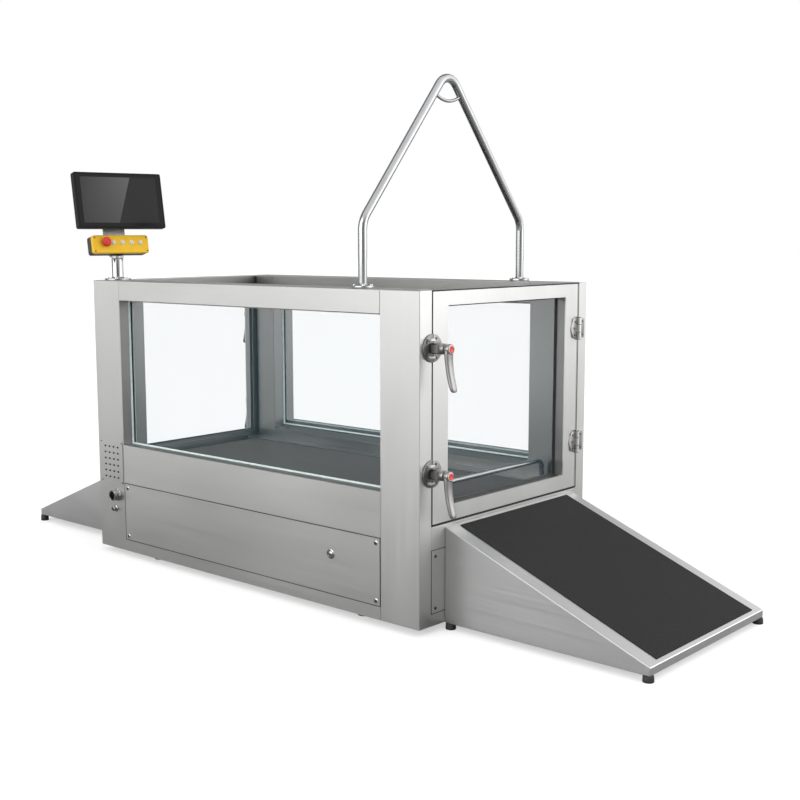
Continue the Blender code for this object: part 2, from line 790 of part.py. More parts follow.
def treadmill():
    """Deck, belt, rollers, their side rails, and the motor drive in the hollow back left post."""
    half = BELT_WIDTH / 2
    deck_x = ROLLER_X - ROLLER_RADIUS - DECK_ROLLER_GAP
    deck_top = BELT_TOP - BELT_THICKNESS - GAP
    deck = box(
        "deck",
        (-deck_x, deck_x),
        (-half + 0.010, half - 0.010),
        (deck_top - DECK_THICKNESS, deck_top),
        BOARD,
    )
    soften(deck, 0.003, 1)
    centres = ((-ROLLER_X, ROLLER_Z), (ROLLER_X, ROLLER_Z))
    band("belt", centres, ROLLER_RADIUS + GAP, BELT_THICKNESS, (-half, half), BELTING)

    rail_in = half + RAIL_CLEAR - 0.0015
    rail_out = INNER_Y - GAP - SHEET - GAP
    rail_low = TUB_FLOOR + SHEET + GAP
    rail_end = REBATE_X - GAP - SHEET - RAIL_CLEAR
    rails = box(
        "treadmill_frame", (-rail_end, rail_end), (rail_in, rail_out), (rail_low, RAIL_TOP), STEEL
    )
    soften(rails, FOLD)
    other = box("rail", (-rail_end, rail_end), (-rail_out, -rail_in), (rail_low, RAIL_TOP))
    soften(other, FOLD)
    bars = []
    bar_top = deck_top - DECK_THICKNESS - GAP
    for x in CROSSBARS:
        span = (-rail_in - EMBED, rail_in + EMBED)
        across = (x - CROSSBAR_WIDTH / 2, x + CROSSBAR_WIDTH / 2)
        bars.append(box("bar", across, span, (bar_top - CROSSBAR_DEPTH, bar_top)))
    fuse(rails, other, *bars)
    for sy in (-1, 1):
        inner, outer = sorted((sy * (rail_in + SHEET), sy * (rail_out - SHEET)))
        reach = REBATE_X + SHEET
        low, high = rail_low + SHEET, RAIL_TOP - SHEET
        cut(rails, box("hollow", (-reach, reach), (inner, outer), (low, high)))
        for x in (-ROLLER_X, ROLLER_X):
            span = (sy * (rail_in - SHEET), sy * (rail_out + SHEET))
            cut(rails, shaft_hole(x, span, ROLLER_Z, SHAFT_RADIUS + RUN))

    face = half - 0.002
    journal = rail_out - 0.004
    roller = [
        (SHAFT_RADIUS, -journal),
        (SHAFT_RADIUS, -face),
        (ROLLER_RADIUS - 0.002, -face),
        (ROLLER_RADIUS, -face + 0.002),
        (ROLLER_RADIUS, face - 0.002),
        (ROLLER_RADIUS - 0.002, face),
        (SHAFT_RADIUS, face),
    ]
    wheel = [
        (PULLEY_RIM, PULLEY_Y - PULLEY_WIDTH / 2),
        (PULLEY_RIM, PULLEY_Y - DRIVE_BELT_WIDTH / 2 - GAP),
        (PULLEY_RADIUS, PULLEY_Y - DRIVE_BELT_WIDTH / 2 - GAP),
        (PULLEY_RADIUS, PULLEY_Y + DRIVE_BELT_WIDTH / 2 + GAP),
        (PULLEY_RIM, PULLEY_Y + DRIVE_BELT_WIDTH / 2 + GAP),
        (PULLEY_RIM, PULLEY_Y + PULLEY_WIDTH / 2),
    ]
    stub = PULLEY_Y + PULLEY_WIDTH / 2 + 0.006
    idle = roller + [(SHAFT_RADIUS, journal)]
    turned("idler_roller", idle, "Y", (ROLLER_X, 0, ROLLER_Z), BRIGHT)
    driven = roller + [(SHAFT_RADIUS, wheel[0][1])] + wheel
    driven += [(SHAFT_RADIUS, wheel[-1][1]), (SHAFT_RADIUS, stub)]
    turned("drive_roller", driven, "Y", (-ROLLER_X, 0, ROLLER_Z), BRIGHT)
    small = [(MOTOR_SHAFT, MOTOR_END_Y - 0.040), (MOTOR_SHAFT, wheel[0][1])] + wheel
    small += [(MOTOR_SHAFT, wheel[-1][1]), (MOTOR_SHAFT, stub)]
    turned("motor_pulley", small, "Y", (-ROLLER_X, 0, MOTOR_Z), BRIGHT)
    span = (PULLEY_Y - DRIVE_BELT_WIDTH / 2, PULLEY_Y + DRIVE_BELT_WIDTH / 2)
    wheels = ((-ROLLER_X, MOTOR_Z), (-ROLLER_X, ROLLER_Z))
    band("drive_belt", wheels, PULLEY_RADIUS + GAP, DRIVE_BELT, span, RUBBER)

    start = MOTOR_END_Y - MOTOR_LENGTH
    shell = [(MOTOR_RADIUS * 0.55, start), (MOTOR_RADIUS * 0.82, start + 0.006)]
    shell += [(MOTOR_RADIUS * 0.82, start + 0.030)]
    fins = 3
    fin = (MOTOR_LENGTH - 0.070) / (2 * fins)
    for k in range(fins):
        y = start + 0.034 + 2 * fin * k
        shell += [(MOTOR_RADIUS, y), (MOTOR_RADIUS, y + fin)]
        shell += [(MOTOR_RADIUS * 0.88, y + fin), (MOTOR_RADIUS * 0.88, y + 2 * fin)]
    flange = MOTOR_END_Y - 0.030
    shell += [(MOTOR_RADIUS, flange), (MOTOR_RADIUS, MOTOR_END_Y - 0.012)]
    shell += [(MOTOR_RADIUS * 0.45, MOTOR_END_Y)]
    motor = turned("drive_motor", shell, "Y", (-ROLLER_X, 0, MOTOR_Z), PAINTED, steps=12)
    bed = COVER_BOTTOM - GAP + 0.001 + GAP
    feet = box(
        "feet",
        (-ROLLER_X - MOTOR_RADIUS, -ROLLER_X + MOTOR_RADIUS),
        (start + 0.045, MOTOR_END_Y - 0.050),
        (bed, bed + 0.010),
    )
    web = box(
        "web",
        (-ROLLER_X - MOTOR_RADIUS * 0.6, -ROLLER_X + MOTOR_RADIUS * 0.6),
        (start + 0.055, MOTOR_END_Y - 0.060),
        (bed + 0.008, MOTOR_Z),
    )
    terminal = box(
        "terminal box",
        (-ROLLER_X - 0.030, -ROLLER_X + 0.030),
        (start + 0.060, start + 0.120),
        (MOTOR_Z + MOTOR_RADIUS * 0.7, MOTOR_Z + MOTOR_RADIUS + 0.025),
    )
    fuse(motor, feet, web, soften(terminal, 0.003, 1))
    socket = (MOTOR_END_Y - 0.045, MOTOR_END_Y + SHEET)
    cut(motor, shaft_hole(-ROLLER_X, socket, MOTOR_Z, MOTOR_SHAFT + RUN))


def bars():
    """Guard bar over the belt's end and the arch that carries a lifting harness."""
    foot = RAIL_TOP + GAP
    top = GUARD_TOP - GUARD_RADIUS
    y = GUARD_Y
    points = [(GUARD_X, -y, foot), (GUARD_X, -y, top), (GUARD_X, y, top), (GUARD_X, y, foot)]
    made = tube("guard_bar", bent(points, (GUARD_BEND, GUARD_BEND)), GUARD_RADIUS, BRIGHT, steps=10)
    flange = [(GUARD_FOOT, 0), (GUARD_FOOT, 0.004)]
    fuse(
        made,
        *(turned("foot", flange, "Z", (GUARD_X, sy * y, foot), steps=12) for sy in (-1, 1)),
    )

    foot = TANK_HEIGHT + GAP
    y = SIDE_Y - ARCH_INSET
    bends = (ARCH_KNEE_BEND, ARCH_APEX_BEND, ARCH_KNEE_BEND)

    def line(low):
        return bent(
            [
                (ARCH_X, -y, low),
                (ARCH_X, -y, ARCH_KNEE),
                (ARCH_X, 0, ARCH_APEX),
                (ARCH_X, y, ARCH_KNEE),
                (ARCH_X, y, low),
            ],
            bends,
        )

    made = tube("gantry", line(foot + EMBED), ARCH_RADIUS, BRIGHT)
    thick = ARCH_FOOT_THICKNESS
    flange = [(ARCH_FOOT, 0), (ARCH_FOOT, thick - 0.002), (ARCH_FOOT - 0.002, thick)]
    feet = [turned("foot", flange, "Z", (ARCH_X, sy * y, foot)) for sy in (-1, 1)]
    lean = y / (ARCH_APEX - ARCH_KNEE)
    reach = (ARCH_APEX - HANG_BAR_Z) * lean
    sag = []
    for i in range(7):
        t = i / 3 - 1
        sag.append(Vector((ARCH_X, reach * t, HANG_BAR_Z - HANG_BAR_SAG * (1 - t * t))))
    hook = tube("hang bar", sag, HANG_BAR_RADIUS, steps=6)
    fuse(made, *feet, hook)
    cut(made, tube("bore", line(foot - SHEET), ARCH_RADIUS - ARCH_WALL, steps=6))


def front_fittings(posts):
    """Vent plate, water outlet and hose nipple on the front left post."""
    corner = posts["front", "left"]
    face = -SIDE_Y
    nipple = turned(
        "nipple",
        [
            (NIPPLE_RADIUS + 0.004, SHEET - 0.001),
            (NIPPLE_RADIUS + 0.004, -0.003),
            (NIPPLE_RADIUS, -0.004),
            (NIPPLE_RADIUS, -NIPPLE_PROUD),
        ],
        "Y",
        (NIPPLE_X, face, NIPPLE_Z),
        steps=16,
    )
    fuse(corner, nipple)
    opening = box(
        "vent opening",
        (VENT_X - VENT_WIDTH / 2 + 0.018, VENT_X + VENT_WIDTH / 2 - 0.018),
        (face - SHEET, face + 2 * SHEET),
        (VENT_Z - VENT_HEIGHT / 2 + 0.020, VENT_Z + VENT_HEIGHT / 2 - 0.020),
    )
    inner_wall = -INNER_Y + SHEET
    cut(
        corner,
        opening,
        shaft_hole(OUTLET_X, (face - SHEET, inner_wall), OUTLET_Z, OUTLET_RADIUS + GAP),
        shaft_hole(NIPPLE_X, (face - NIPPLE_PROUD - SHEET, face + 2 * SHEET), NIPPLE_Z, NIPPLE_BORE),
    )

    plate = prism(
        "vent_grille",
        rounded(
            VENT_X - VENT_WIDTH / 2,
            VENT_X + VENT_WIDTH / 2,
            VENT_Z - VENT_HEIGHT / 2,
            VENT_Z + VENT_HEIGHT / 2,
            0.003,
            2,
        ),
        "Y",
        face - GAP - VENT_THICKNESS,
        face - GAP,
        STEEL,
    )
    holes = bmesh.new()
    for i in range(VENT_COLUMNS):
        for j in range(VENT_ROWS):
            x = VENT_X + (i - (VENT_COLUMNS - 1) / 2) * VENT_PITCH_X
            z = VENT_Z + (j - (VENT_ROWS - 1) / 2) * VENT_PITCH_Z
            bmesh.ops.create_cone(
                holes,
                cap_ends=True,
                segments=8,
                radius1=VENT_HOLE,
                radius2=VENT_HOLE,
                depth=4 * VENT_THICKNESS,
                matrix=Matrix.Translation((x, face, z)) @ Matrix.Rotation(math.pi / 2, 4, "X"),
            )
    cut(plate, add("vent holes", holes, None))

    run = [
        (OUTLET_X, face - OUTLET_PROUD, OUTLET_Z),
        (OUTLET_X, OUTLET_DRAIN_Y, OUTLET_Z),
        (OUTLET_X, OUTLET_DRAIN_Y, TUB_FLOOR - GAP),
    ]
    bore_run = [
        (OUTLET_X, run[0][1] - SHEET, OUTLET_Z),
        run[1],
        (OUTLET_X, OUTLET_DRAIN_Y, TUB_FLOOR + SHEET),
    ]
    pipe = tube("water_outlet", bent(run, (OUTLET_BEND,)), OUTLET_RADIUS, BRIGHT, steps=12)
    collar = turned(
        "collar",
        [(OUTLET_COLLAR, -GAP), (OUTLET_COLLAR, -0.004), (OUTLET_RADIUS, -0.006)],
        "Y",
        (OUTLET_X, face, OUTLET_Z),
    )
    flange = turned(
        "flange",
        [(OUTLET_FLANGE, -0.005), (OUTLET_FLANGE, 0)],
        "Z",
        (OUTLET_X, OUTLET_DRAIN_Y, TUB_FLOOR - GAP),
    )
    fuse(pipe, collar, flange)
    cut(pipe, tube("bore", bent(bore_run, (OUTLET_BEND,)), OUTLET_RADIUS - OUTLET_WALL))


def drive_holes(posts):
    """Bores through the back left post's inner wall for the roller and motor shafts."""
    corner = posts["back", "left"]
    wall = (INNER_Y - SHEET, INNER_Y + 2 * SHEET)
    cut(
        corner,
        shaft_hole(-ROLLER_X, wall, ROLLER_Z, SHAFT_RADIUS + RUN),
        shaft_hole(-ROLLER_X, wall, MOTOR_Z, MOTOR_SHAFT + RUN),
    )


def head_frame():
    """Local axes of the control head: X along the box, Y up its face, Z out of the face."""
    turn, tilt = math.radians(HEAD_TURN), math.radians(HEAD_TILT)
    level = Vector((math.cos(turn), math.sin(turn), 0))
    along = Vector((-math.sin(turn), math.cos(turn), 0))
    out = level * math.cos(tilt) + Vector((0, 0, math.sin(tilt)))
    up = out.cross(along)
    frame = Matrix((along, up, out)).transposed().to_4x4()
    frame.translation = Vector((STAND_X, STAND_Y, HEAD_Z))
    return frame


def control_stand():
    """Monitor and button box on a swivelling bracket over the front left post."""
    frame = head_frame()

    def lean(*pieces):
        for piece in pieces:
            piece.data.transform(frame)
        return pieces[0]

    seat = TANK_HEIGHT + GAP
    rise = STAND_TOP - seat
    socket = (SPIGOT_RADIUS + RUN) / math.cos(math.pi / 14)
    turned(
        "monitor_post",
        [
            (STAND_FLANGE, 0),
            (STAND_FLANGE, STAND_FLANGE_THICKNESS - 0.002),
            (STAND_FLANGE - 0.002, STAND_FLANGE_THICKNESS),
            (STAND_RADIUS, STAND_FLANGE_THICKNESS),
            (STAND_RADIUS, rise),
            (socket, rise),
            (socket, rise - SPIGOT_DEPTH - RUN),
        ],
        "Z",
        (STAND_X, STAND_Y, seat),
        BRIGHT,
    )
    bracket = turned(
        "monitor_bracket",
        [
            (SPIGOT_RADIUS, -SPIGOT_DEPTH),
            (SPIGOT_RADIUS, GAP),
            (CAP_RADIUS, GAP),
            (CAP_RADIUS, CAP_THICKNESS),
        ],
        "Z",
        (STAND_X, STAND_Y, STAND_TOP),
        BRIGHT,
    )
    rear, front = BACKPLATE_REAR, BACKPLATE_REAR + BACKPLATE
    foot_u = (STAND_TOP + GAP + EMBED - HEAD_Z) / math.cos(math.radians(HEAD_TILT))
    half = BACKPLATE_WIDTH / 2
    plate = prism(
        "backplate",
        [
            (-CAP_RADIUS * 0.8, foot_u),
            (CAP_RADIUS * 0.8, foot_u),
            (half, foot_u + 0.020),
            (half, BACKPLATE_TOP - 0.010),
            (half - 0.010, BACKPLATE_TOP),
            (-half + 0.010, BACKPLATE_TOP),
            (-half, BACKPLATE_TOP - 0.010),
            (-half, foot_u + 0.020),
        ],
        "Z",
        rear,
        front,
    )
    block = TILT_BLOCK / 2
    ears = []
    for side in (-1, 1):
        near, far = side * (block + GAP), side * (block + GAP + TILT_EAR)
        ear = rounded(
            SCREEN_CENTRE - block, SCREEN_CENTRE + block, rear + EMBED / 2, TILT_PIVOT + block * 0.7, 0.008, 2
        )
        ears.append(prism("ear", ear, "X", *sorted((near, far))))
    reach = block + GAP + TILT_EAR + 0.002
    pin = prism("pin", circle(SCREEN_CENTRE, TILT_PIVOT, TILT_PIN, 12), "X", -reach, reach)
    lean(plate, *ears, pin)
    fuse(bracket, plate, *ears, pin)

    low, high = BOX_CENTRE - BOX_HEIGHT / 2, BOX_CENTRE + BOX_HEIGHT / 2
    wide = BOX_WIDTH / 2
    base = front + GAP
    split = base + BOX_DEPTH
    face = split + GAP + LID_DEPTH
    outline = rounded(-wide, wide, low, high, BOX_CORNER)
    lower = soften(prism("control_box", outline, "Z", base, split, DARK), 0.0012, 1)
    lid = soften(prism("control_lid", outline, "Z", split + GAP, face, YELLOW), 0.0030)
    floor = face - KEY_WELL
    wells = [prism("well", bore(STOP_S, STOP_U, STOP_STEM + RUN), "Z", floor - 0.002, face + SHEET)]
    keys = [KEY_S + KEY_PITCH * i for i in range(4)]
    for s in keys:
        wells.append(prism("well", bore(s, KEY_U, KEY_RADIUS + RUN, 12), "Z", floor, face + SHEET))
    cut(lid, *wells)

    stem = KEY_WELL + 0.002 - STOP_TRAVEL - RUN
    stop = turned(
        "emergency_stop",
        [
            (STOP_STEM, -stem),
            (STOP_STEM, STOP_TRAVEL + 0.003),
            (STOP_RADIUS - 0.002, STOP_TRAVEL + 0.003),
            (STOP_RADIUS, STOP_TRAVEL + 0.006),
            (STOP_RADIUS, STOP_TRAVEL + 0.012),
            (STOP_RADIUS * 0.86, STOP_TRAVEL + 0.0165),
            (STOP_RADIUS * 0.50, STOP_TRAVEL + 0.0185),
        ],
        "Z",
        (STOP_S, STOP_U, face),
        RED,
    )
    buttons = []
    for i, s in enumerate(keys):
        reach = KEY_WELL - KEY_TRAVEL - RUN
        buttons.append(
            turned(
                f"button_{i + 1}",
                [
                    (KEY_RADIUS, -reach),
                    (KEY_RADIUS, KEY_PROUD - 0.001),
                    (KEY_RADIUS - 0.001, KEY_PROUD),
                    (KEY_RADIUS - 0.0022, KEY_PROUD - 0.0006),
                ],
                "Z",
                (s, KEY_U, face),
                GREY,
                steps=12,
            )
        )

    rear = MONITOR_FRONT - MONITOR_DEPTH
    tall = MONITOR_HEIGHT / 2
    wide = MONITOR_WIDTH / 2
    case = rounded(-wide, wide, SCREEN_CENTRE - tall, SCREEN_CENTRE + tall, MONITOR_CORNER)
    monitor = soften(prism("monitor_housing", case, "Z", rear, MONITOR_FRONT, BLACK), 0.002)
    mount = box(
        "mount",
        (-block, block),
        (SCREEN_CENTRE - block, SCREEN_CENTRE + block),
        (TILT_PIVOT - block * 0.7, rear + EMBED),
    )
    fuse(monitor, mount)
    bezel = MONITOR_BEZEL
    recess = box(
        "recess",
        (-wide + bezel, wide - bezel),
        (SCREEN_CENTRE - tall + bezel, SCREEN_CENTRE + tall - bezel),
        (MONITOR_FRONT - SCREEN_GLASS - GAP, MONITOR_FRONT + SHEET),
    )
    pin_bore = prism(
        "bore", bore(SCREEN_CENTRE, TILT_PIVOT, TILT_PIN + RUN, 12), "X", -wide / 2, wide / 2
    )
    cut(monitor, recess, pin_bore)
    glass = box(
        "monitor_screen",
        (-wide + bezel + GAP, wide - bezel - GAP),
        (SCREEN_CENTRE - tall + bezel + GAP, SCREEN_CENTRE + tall - bezel - GAP),
        (MONITOR_FRONT - SCREEN_GLASS, MONITOR_FRONT),
        SCREEN,
    )
    lean(lower, lid, *wells, stop, *buttons, monitor, mount, recess, pin_bore, glass)
    swivel = pivot("swivel axis", (STAND_X, STAND_Y, STAND_TOP))
    carry(swivel, bracket, lower, lid)
    tilt = pivot("tilt axis", frame @ Vector((0, SCREEN_CENTRE, TILT_PIVOT)))
    carry(tilt, monitor, glass)
    carry(pivot("stop axis", frame @ Vector((STOP_S, STOP_U, face))), stop)
    for i, s in enumerate(keys):
        carry(pivot(f"key axis {i + 1}", frame @ Vector((s, KEY_U, face))), buttons[i])


def hinge_on_post(corner, z):
    """Fixed leaf, outer knuckles and pin of a hinge, welded to the post."""
    leaf_y = DOORWAY_Y + HINGE_BARREL
    leaf = prism(
        "leaf",
        rounded(leaf_y, leaf_y + HINGE_POST_LEAF, z - HINGE_HALF, z + HINGE_HALF, 0.004, 2),
        "X",
        END_X - EMBED / 2,
        END_X + HINGE_LEAF,
    )
    pieces = [leaf]
    start = HINGE_DOOR_KNUCKLE + GAP
    for low, high in ((z - HINGE_HALF, z - start), (z + start, z + HINGE_HALF)):
        barrel = circle(HINGE_X, HINGE_Y, HINGE_BARREL, 10)
        pieces.append(prism("knuckle", barrel, "Z", low, high))
        web = (HINGE_Y, leaf_y + EMBED)
        inset = 0.0005
        pieces.append(
            box(
                "web",
                (END_X + GAP, END_X + HINGE_LEAF + EMBED / 2),
                web,
                (low + inset, high - inset),
            )
        )
    tall = HINGE_HALF + 0.003
    pin = [
        (HINGE_PIN * 1.25, -tall),
        (HINGE_PIN * 1.25, -HINGE_HALF + EMBED / 4),
        (HINGE_PIN, -HINGE_HALF + EMBED / 2),
        (HINGE_PIN, HINGE_HALF - EMBED / 2),
        (HINGE_PIN * 1.25, HINGE_HALF - EMBED / 4),
        (HINGE_PIN * 1.25, tall),
    ]
    pieces.append(turned("pin", pin, "Z", (HINGE_X, HINGE_Y, z), steps=8))
    fuse(corner, *pieces)
    return pieces


def keeper_on_post(corner, z):
    """Half-round keeper plate beside a latch, with the two ears that its block closes between."""
    edge = -(DOORWAY_Y + GAP)
    disc = half_disc(edge, z, LATCH_PLATE_RADIUS, -1)
    plate = prism("keeper", disc, "X", END_X - EMBED / 2, END_X + LATCH_PLATE)
    pieces = [plate]
    near = LATCH_BLOCK / 2 + 0.006
    for side in (-1, 1):
        span = (z + side * near, z + side * (near + KEEPER_EAR))
        top = END_X + LATCH_PLATE + KEEPER_DEPTH
        ear = box("ear", (END_X + LATCH_PLATE - EMBED / 2, top), (edge - 0.028, edge - EMBED), span)
        pieces.append(soften(ear, 0.002, 1))
    fuse(corner, *pieces)
    return pieces


def latch_on_door(z, seat):
    """Half-round plate, block over the gap and collar that carries the lever."""
    edge = -(DOORWAY_Y - DOOR_FREE_GAP) + GAP
    disc = half_disc(edge, z, LATCH_PLATE_RADIUS, 1)
    top = END_X + LATCH_PLATE
    plate = prism("latch", disc, "X", seat, top)
    half = LATCH_BLOCK / 2
    rise = top + RUN
    block_top = rise + LATCH_BLOCK_DEPTH
    block = box(
        "block", (rise, block_top), (LATCH_Y - half, LATCH_Y + half), (z - half, z + half)
    )
    soften(block, 0.004, 1)
    root = box(
        "root",
        (top - EMBED, rise + 0.010),
        (edge + EMBED, LATCH_Y + half - 0.001),
        (z - half + 0.001, z + half - 0.001),
    )
    collar = turned(
        "collar",
        [
            (LATCH_COLLAR, -EMBED),
            (LATCH_COLLAR, LATCH_COLLAR_DEPTH - 0.003),
            (LATCH_COLLAR - 0.003, LATCH_COLLAR_DEPTH),
        ],
        "X",
        (block_top, LATCH_Y, z),
    )
    return plate, [root, block, collar], block_top + LATCH_COLLAR_DEPTH


def lever_and_button(side, level, z, hub_x):
    """Clamping lever hanging from its hub, and the release button in the hub's end."""
    hub = turned(
        f"lever_{side}_{level}",
        [
            (LEVER_HUB, GAP),
            (LEVER_HUB, LEVER_HUB_DEPTH - 0.003),
            (LEVER_HUB - 0.003, LEVER_HUB_DEPTH),
        ],
        "X",
        (hub_x, LATCH_Y, z),
        CHROME,
    )
    middle = hub_x + LEVER_HUB_DEPTH / 2
    rings = []
    for t in (0.03, 0.45, 0.75, 0.93, 1.0):
        taper = LEVER_ROOT + (LEVER_TIP - LEVER_ROOT) * min(1, t / 0.8)
        nose = 1.0 if t < 0.98 else 0.7
        across = taper * nose / 2
        thick = LEVER_THICKNESS * (1.0 if t < 0.98 else 0.55) / 2
        x = middle + LEVER_FLARE * t**3
        outline = rounded(x - thick, x + thick, LATCH_Y - across, LATCH_Y + across, thick * 0.6, 1)
        rings.append([(a, b, z - LEVER_LENGTH * t) for a, b in outline])
    arm = loft("arm", rings)
    fuse(hub, arm)
    end = hub_x + LEVER_HUB_DEPTH
    foot = end + RELEASE_PROUD - RELEASE_LENGTH
    well = foot - RELEASE_TRAVEL - RUN / 2
    recess = prism("recess", bore(LATCH_Y, z, RELEASE_RADIUS + GAP), "X", well, end + SHEET)
    cut(hub, recess)
    button = turned(
        f"lever_button_{side}_{level}",
        [
            (RELEASE_RADIUS, 0),
            (RELEASE_RADIUS, RELEASE_LENGTH - 0.0015),
            (RELEASE_RADIUS - 0.0015, RELEASE_LENGTH),
        ],
        "X",
        (foot, LATCH_Y, z),
        RED,
    )
    return hub, button, [arm, recess]


def door(side, posts):
    """A door with its hinges, latches and levers, built at the right end and turned for the left."""
    spin = Matrix.Rotation(math.pi if side == "left" else 0.0, 4, "Z")
    hinge_post, latch_post = (
        (posts["back", "right"], posts["front", "right"])
        if side == "right"
        else (posts["front", "left"], posts["back", "left"])
    )
    free, hung = -(DOORWAY_Y - DOOR_FREE_GAP), DOORWAY_Y - DOOR_HINGE_GAP
    rear = END_X - DOOR_THICKNESS
    opening = (
        free + DOOR_STILE,
        hung - DOOR_STILE + 0.004,
        DOOR_BOTTOM + DOOR_BOTTOM_RAIL,
        TANK_HEIGHT - DOOR_TOP_RAIL,
    )
    turn_with = []
    frame = prism(
        f"door_{side}_frame",
        rectangle(free, hung, DOOR_BOTTOM, TANK_HEIGHT),
        "X",
        rear,
        END_X,
        STEEL,
    )
    soften(frame, FOLD)
    leaf_edge = hung - 0.0065
    helpers = []
    for z in HINGE_HEIGHTS:
        disc = half_disc(leaf_edge, z, HINGE_DOOR_LEAF, -1)
        helpers.append(prism("leaf", disc, "X", END_X - EMBED / 2, END_X + HINGE_LEAF))
        knuckle = circle(HINGE_X, HINGE_Y, HINGE_BARREL, 10)
        tall = HINGE_DOOR_KNUCKLE
        helpers.append(prism("knuckle", knuckle, "Z", z - tall, z + tall))
        inset = 0.0005
        helpers.append(
            box(
                "web",
                (END_X + GAP, END_X + HINGE_LEAF + EMBED / 2),
                (leaf_edge - 0.006, HINGE_Y),
                (z - tall + inset, z + tall - inset),
            )
        )
    fuse(frame, *helpers)
    turn_with += helpers
    seats = []
    for level, z in zip(("upper", "lower"), LATCH_HEIGHTS):
        apart = side == "right"
        seat = END_X + GAP if apart else END_X - EMBED / 2
        plate, parts, hub_x = latch_on_door(z, seat)
        if apart:
            plate.name = f"latch_{side}_{level}"
            plate.data.materials.append(CHROME)
            fuse(plate, *parts)
            seats.append(plate)
        else:
            fuse(frame, plate, *parts)
            turn_with.append(plate)
        turn_with += parts
        lever, button, more = lever_and_button(side, level, z, hub_x)
        turn_with += more
        seats += [lever, button]
    reach = GROOVE + GAP
    glass_x = (rear + DOOR_GLASS_BACK, rear + DOOR_GLASS_BACK + DOOR_GLASS)
    hole = prism("opening", rectangle(*opening), "X", rear - SHEET, END_X + SHEET)
    channel = prism(
        "channel",
        rectangle(opening[0] - reach, opening[1] + reach, opening[2] - reach, opening[3] + reach),
        "X",
        glass_x[0] - GAP,
        glass_x[1] + GAP,
    )
    wall = GROOVE + GROOVE_WALL
    hollow = window_frame(
        "hollow",
        (free + SHEET, hung - SHEET, DOOR_BOTTOM + SHEET, TANK_HEIGHT - SHEET),
        (opening[0] - wall, opening[1] + wall, opening[2] - wall, opening[3] + wall),
        rear + SHEET,
        END_X - SHEET,
    )
    drains = [
        prism(
            "drain",
            circle((rear + END_X) / 2, y, 0.004, 12),
            "Z",
            DOOR_BOTTOM - SHEET,
            DOOR_BOTTOM + 2 * SHEET,
        )
        for y in (free * 0.6, hung * 0.6)
    ]
    bores = [
        prism(
            "pin bore",
            bore(HINGE_X, HINGE_Y, HINGE_PIN + GAP, 8),
            "Z",
            z - 2 * HINGE_DOOR_KNUCKLE,
            z + 2 * HINGE_DOOR_KNUCKLE,
        )
        for z in HINGE_HEIGHTS
    ]
    cut(frame, hole, channel, hollow, *drains, *bores)
    glass = prism(
        f"door_{side}_glass",
        rectangle(
            opening[0] - GROOVE, opening[1] + GROOVE, opening[2] - GROOVE, opening[3] + GROOVE
        ),
        "X",
        *glass_x,
        CLEAR,
    )
    seal_out, seal_in = DOORWAY_Y - 2 * SEAL_LAP, DOORWAY_Y - 2 * SEAL_LAP - SEAL_WIDTH
    low, high = DOOR_BOTTOM + SEAL_LAP, TANK_HEIGHT - 3 * SEAL_LAP
    inner_low = TUB_END_TOP - GAP
    seal = prism(
        f"door_{side}_seal",
        [
            (-seal_out, low),
            (seal_out, low),
            (seal_out, high),
            (seal_in, high),
            (seal_in, inner_low),
            (-seal_in, inner_low),
            (-seal_in, high),
            (-seal_out, high),
        ],
        "X",
        REBATE_X + GAP,
        rear - GAP,
        RUBBER,
    )
    fixed = []
    for z in HINGE_HEIGHTS:
        fixed += hinge_on_post(hinge_post, z)
    for z in LATCH_HEIGHTS:
        fixed += keeper_on_post(latch_post, z)
    moving = [frame, glass, seal, *seats]
    for piece in (*moving, *turn_with, *fixed, hole, channel, hollow, *drains, *bores):
        piece.data.transform(spin)
    axis = pivot(f"door axis {side}", spin @ Vector((HINGE_X, HINGE_Y, DOOR_BOTTOM)))
    carry(axis, frame, glass, seal)
    for piece in seats:
        level = piece.name.rsplit("_", 1)[-1]
        if piece.name.startswith("latch"):
            carry(axis, piece)
            continue
        z = LATCH_HEIGHTS[0] if level == "upper" else LATCH_HEIGHTS[1]
        point = spin @ Vector((END_X, LATCH_Y, z))
        carry(pivot(f"axis of {piece.name}", point), piece)


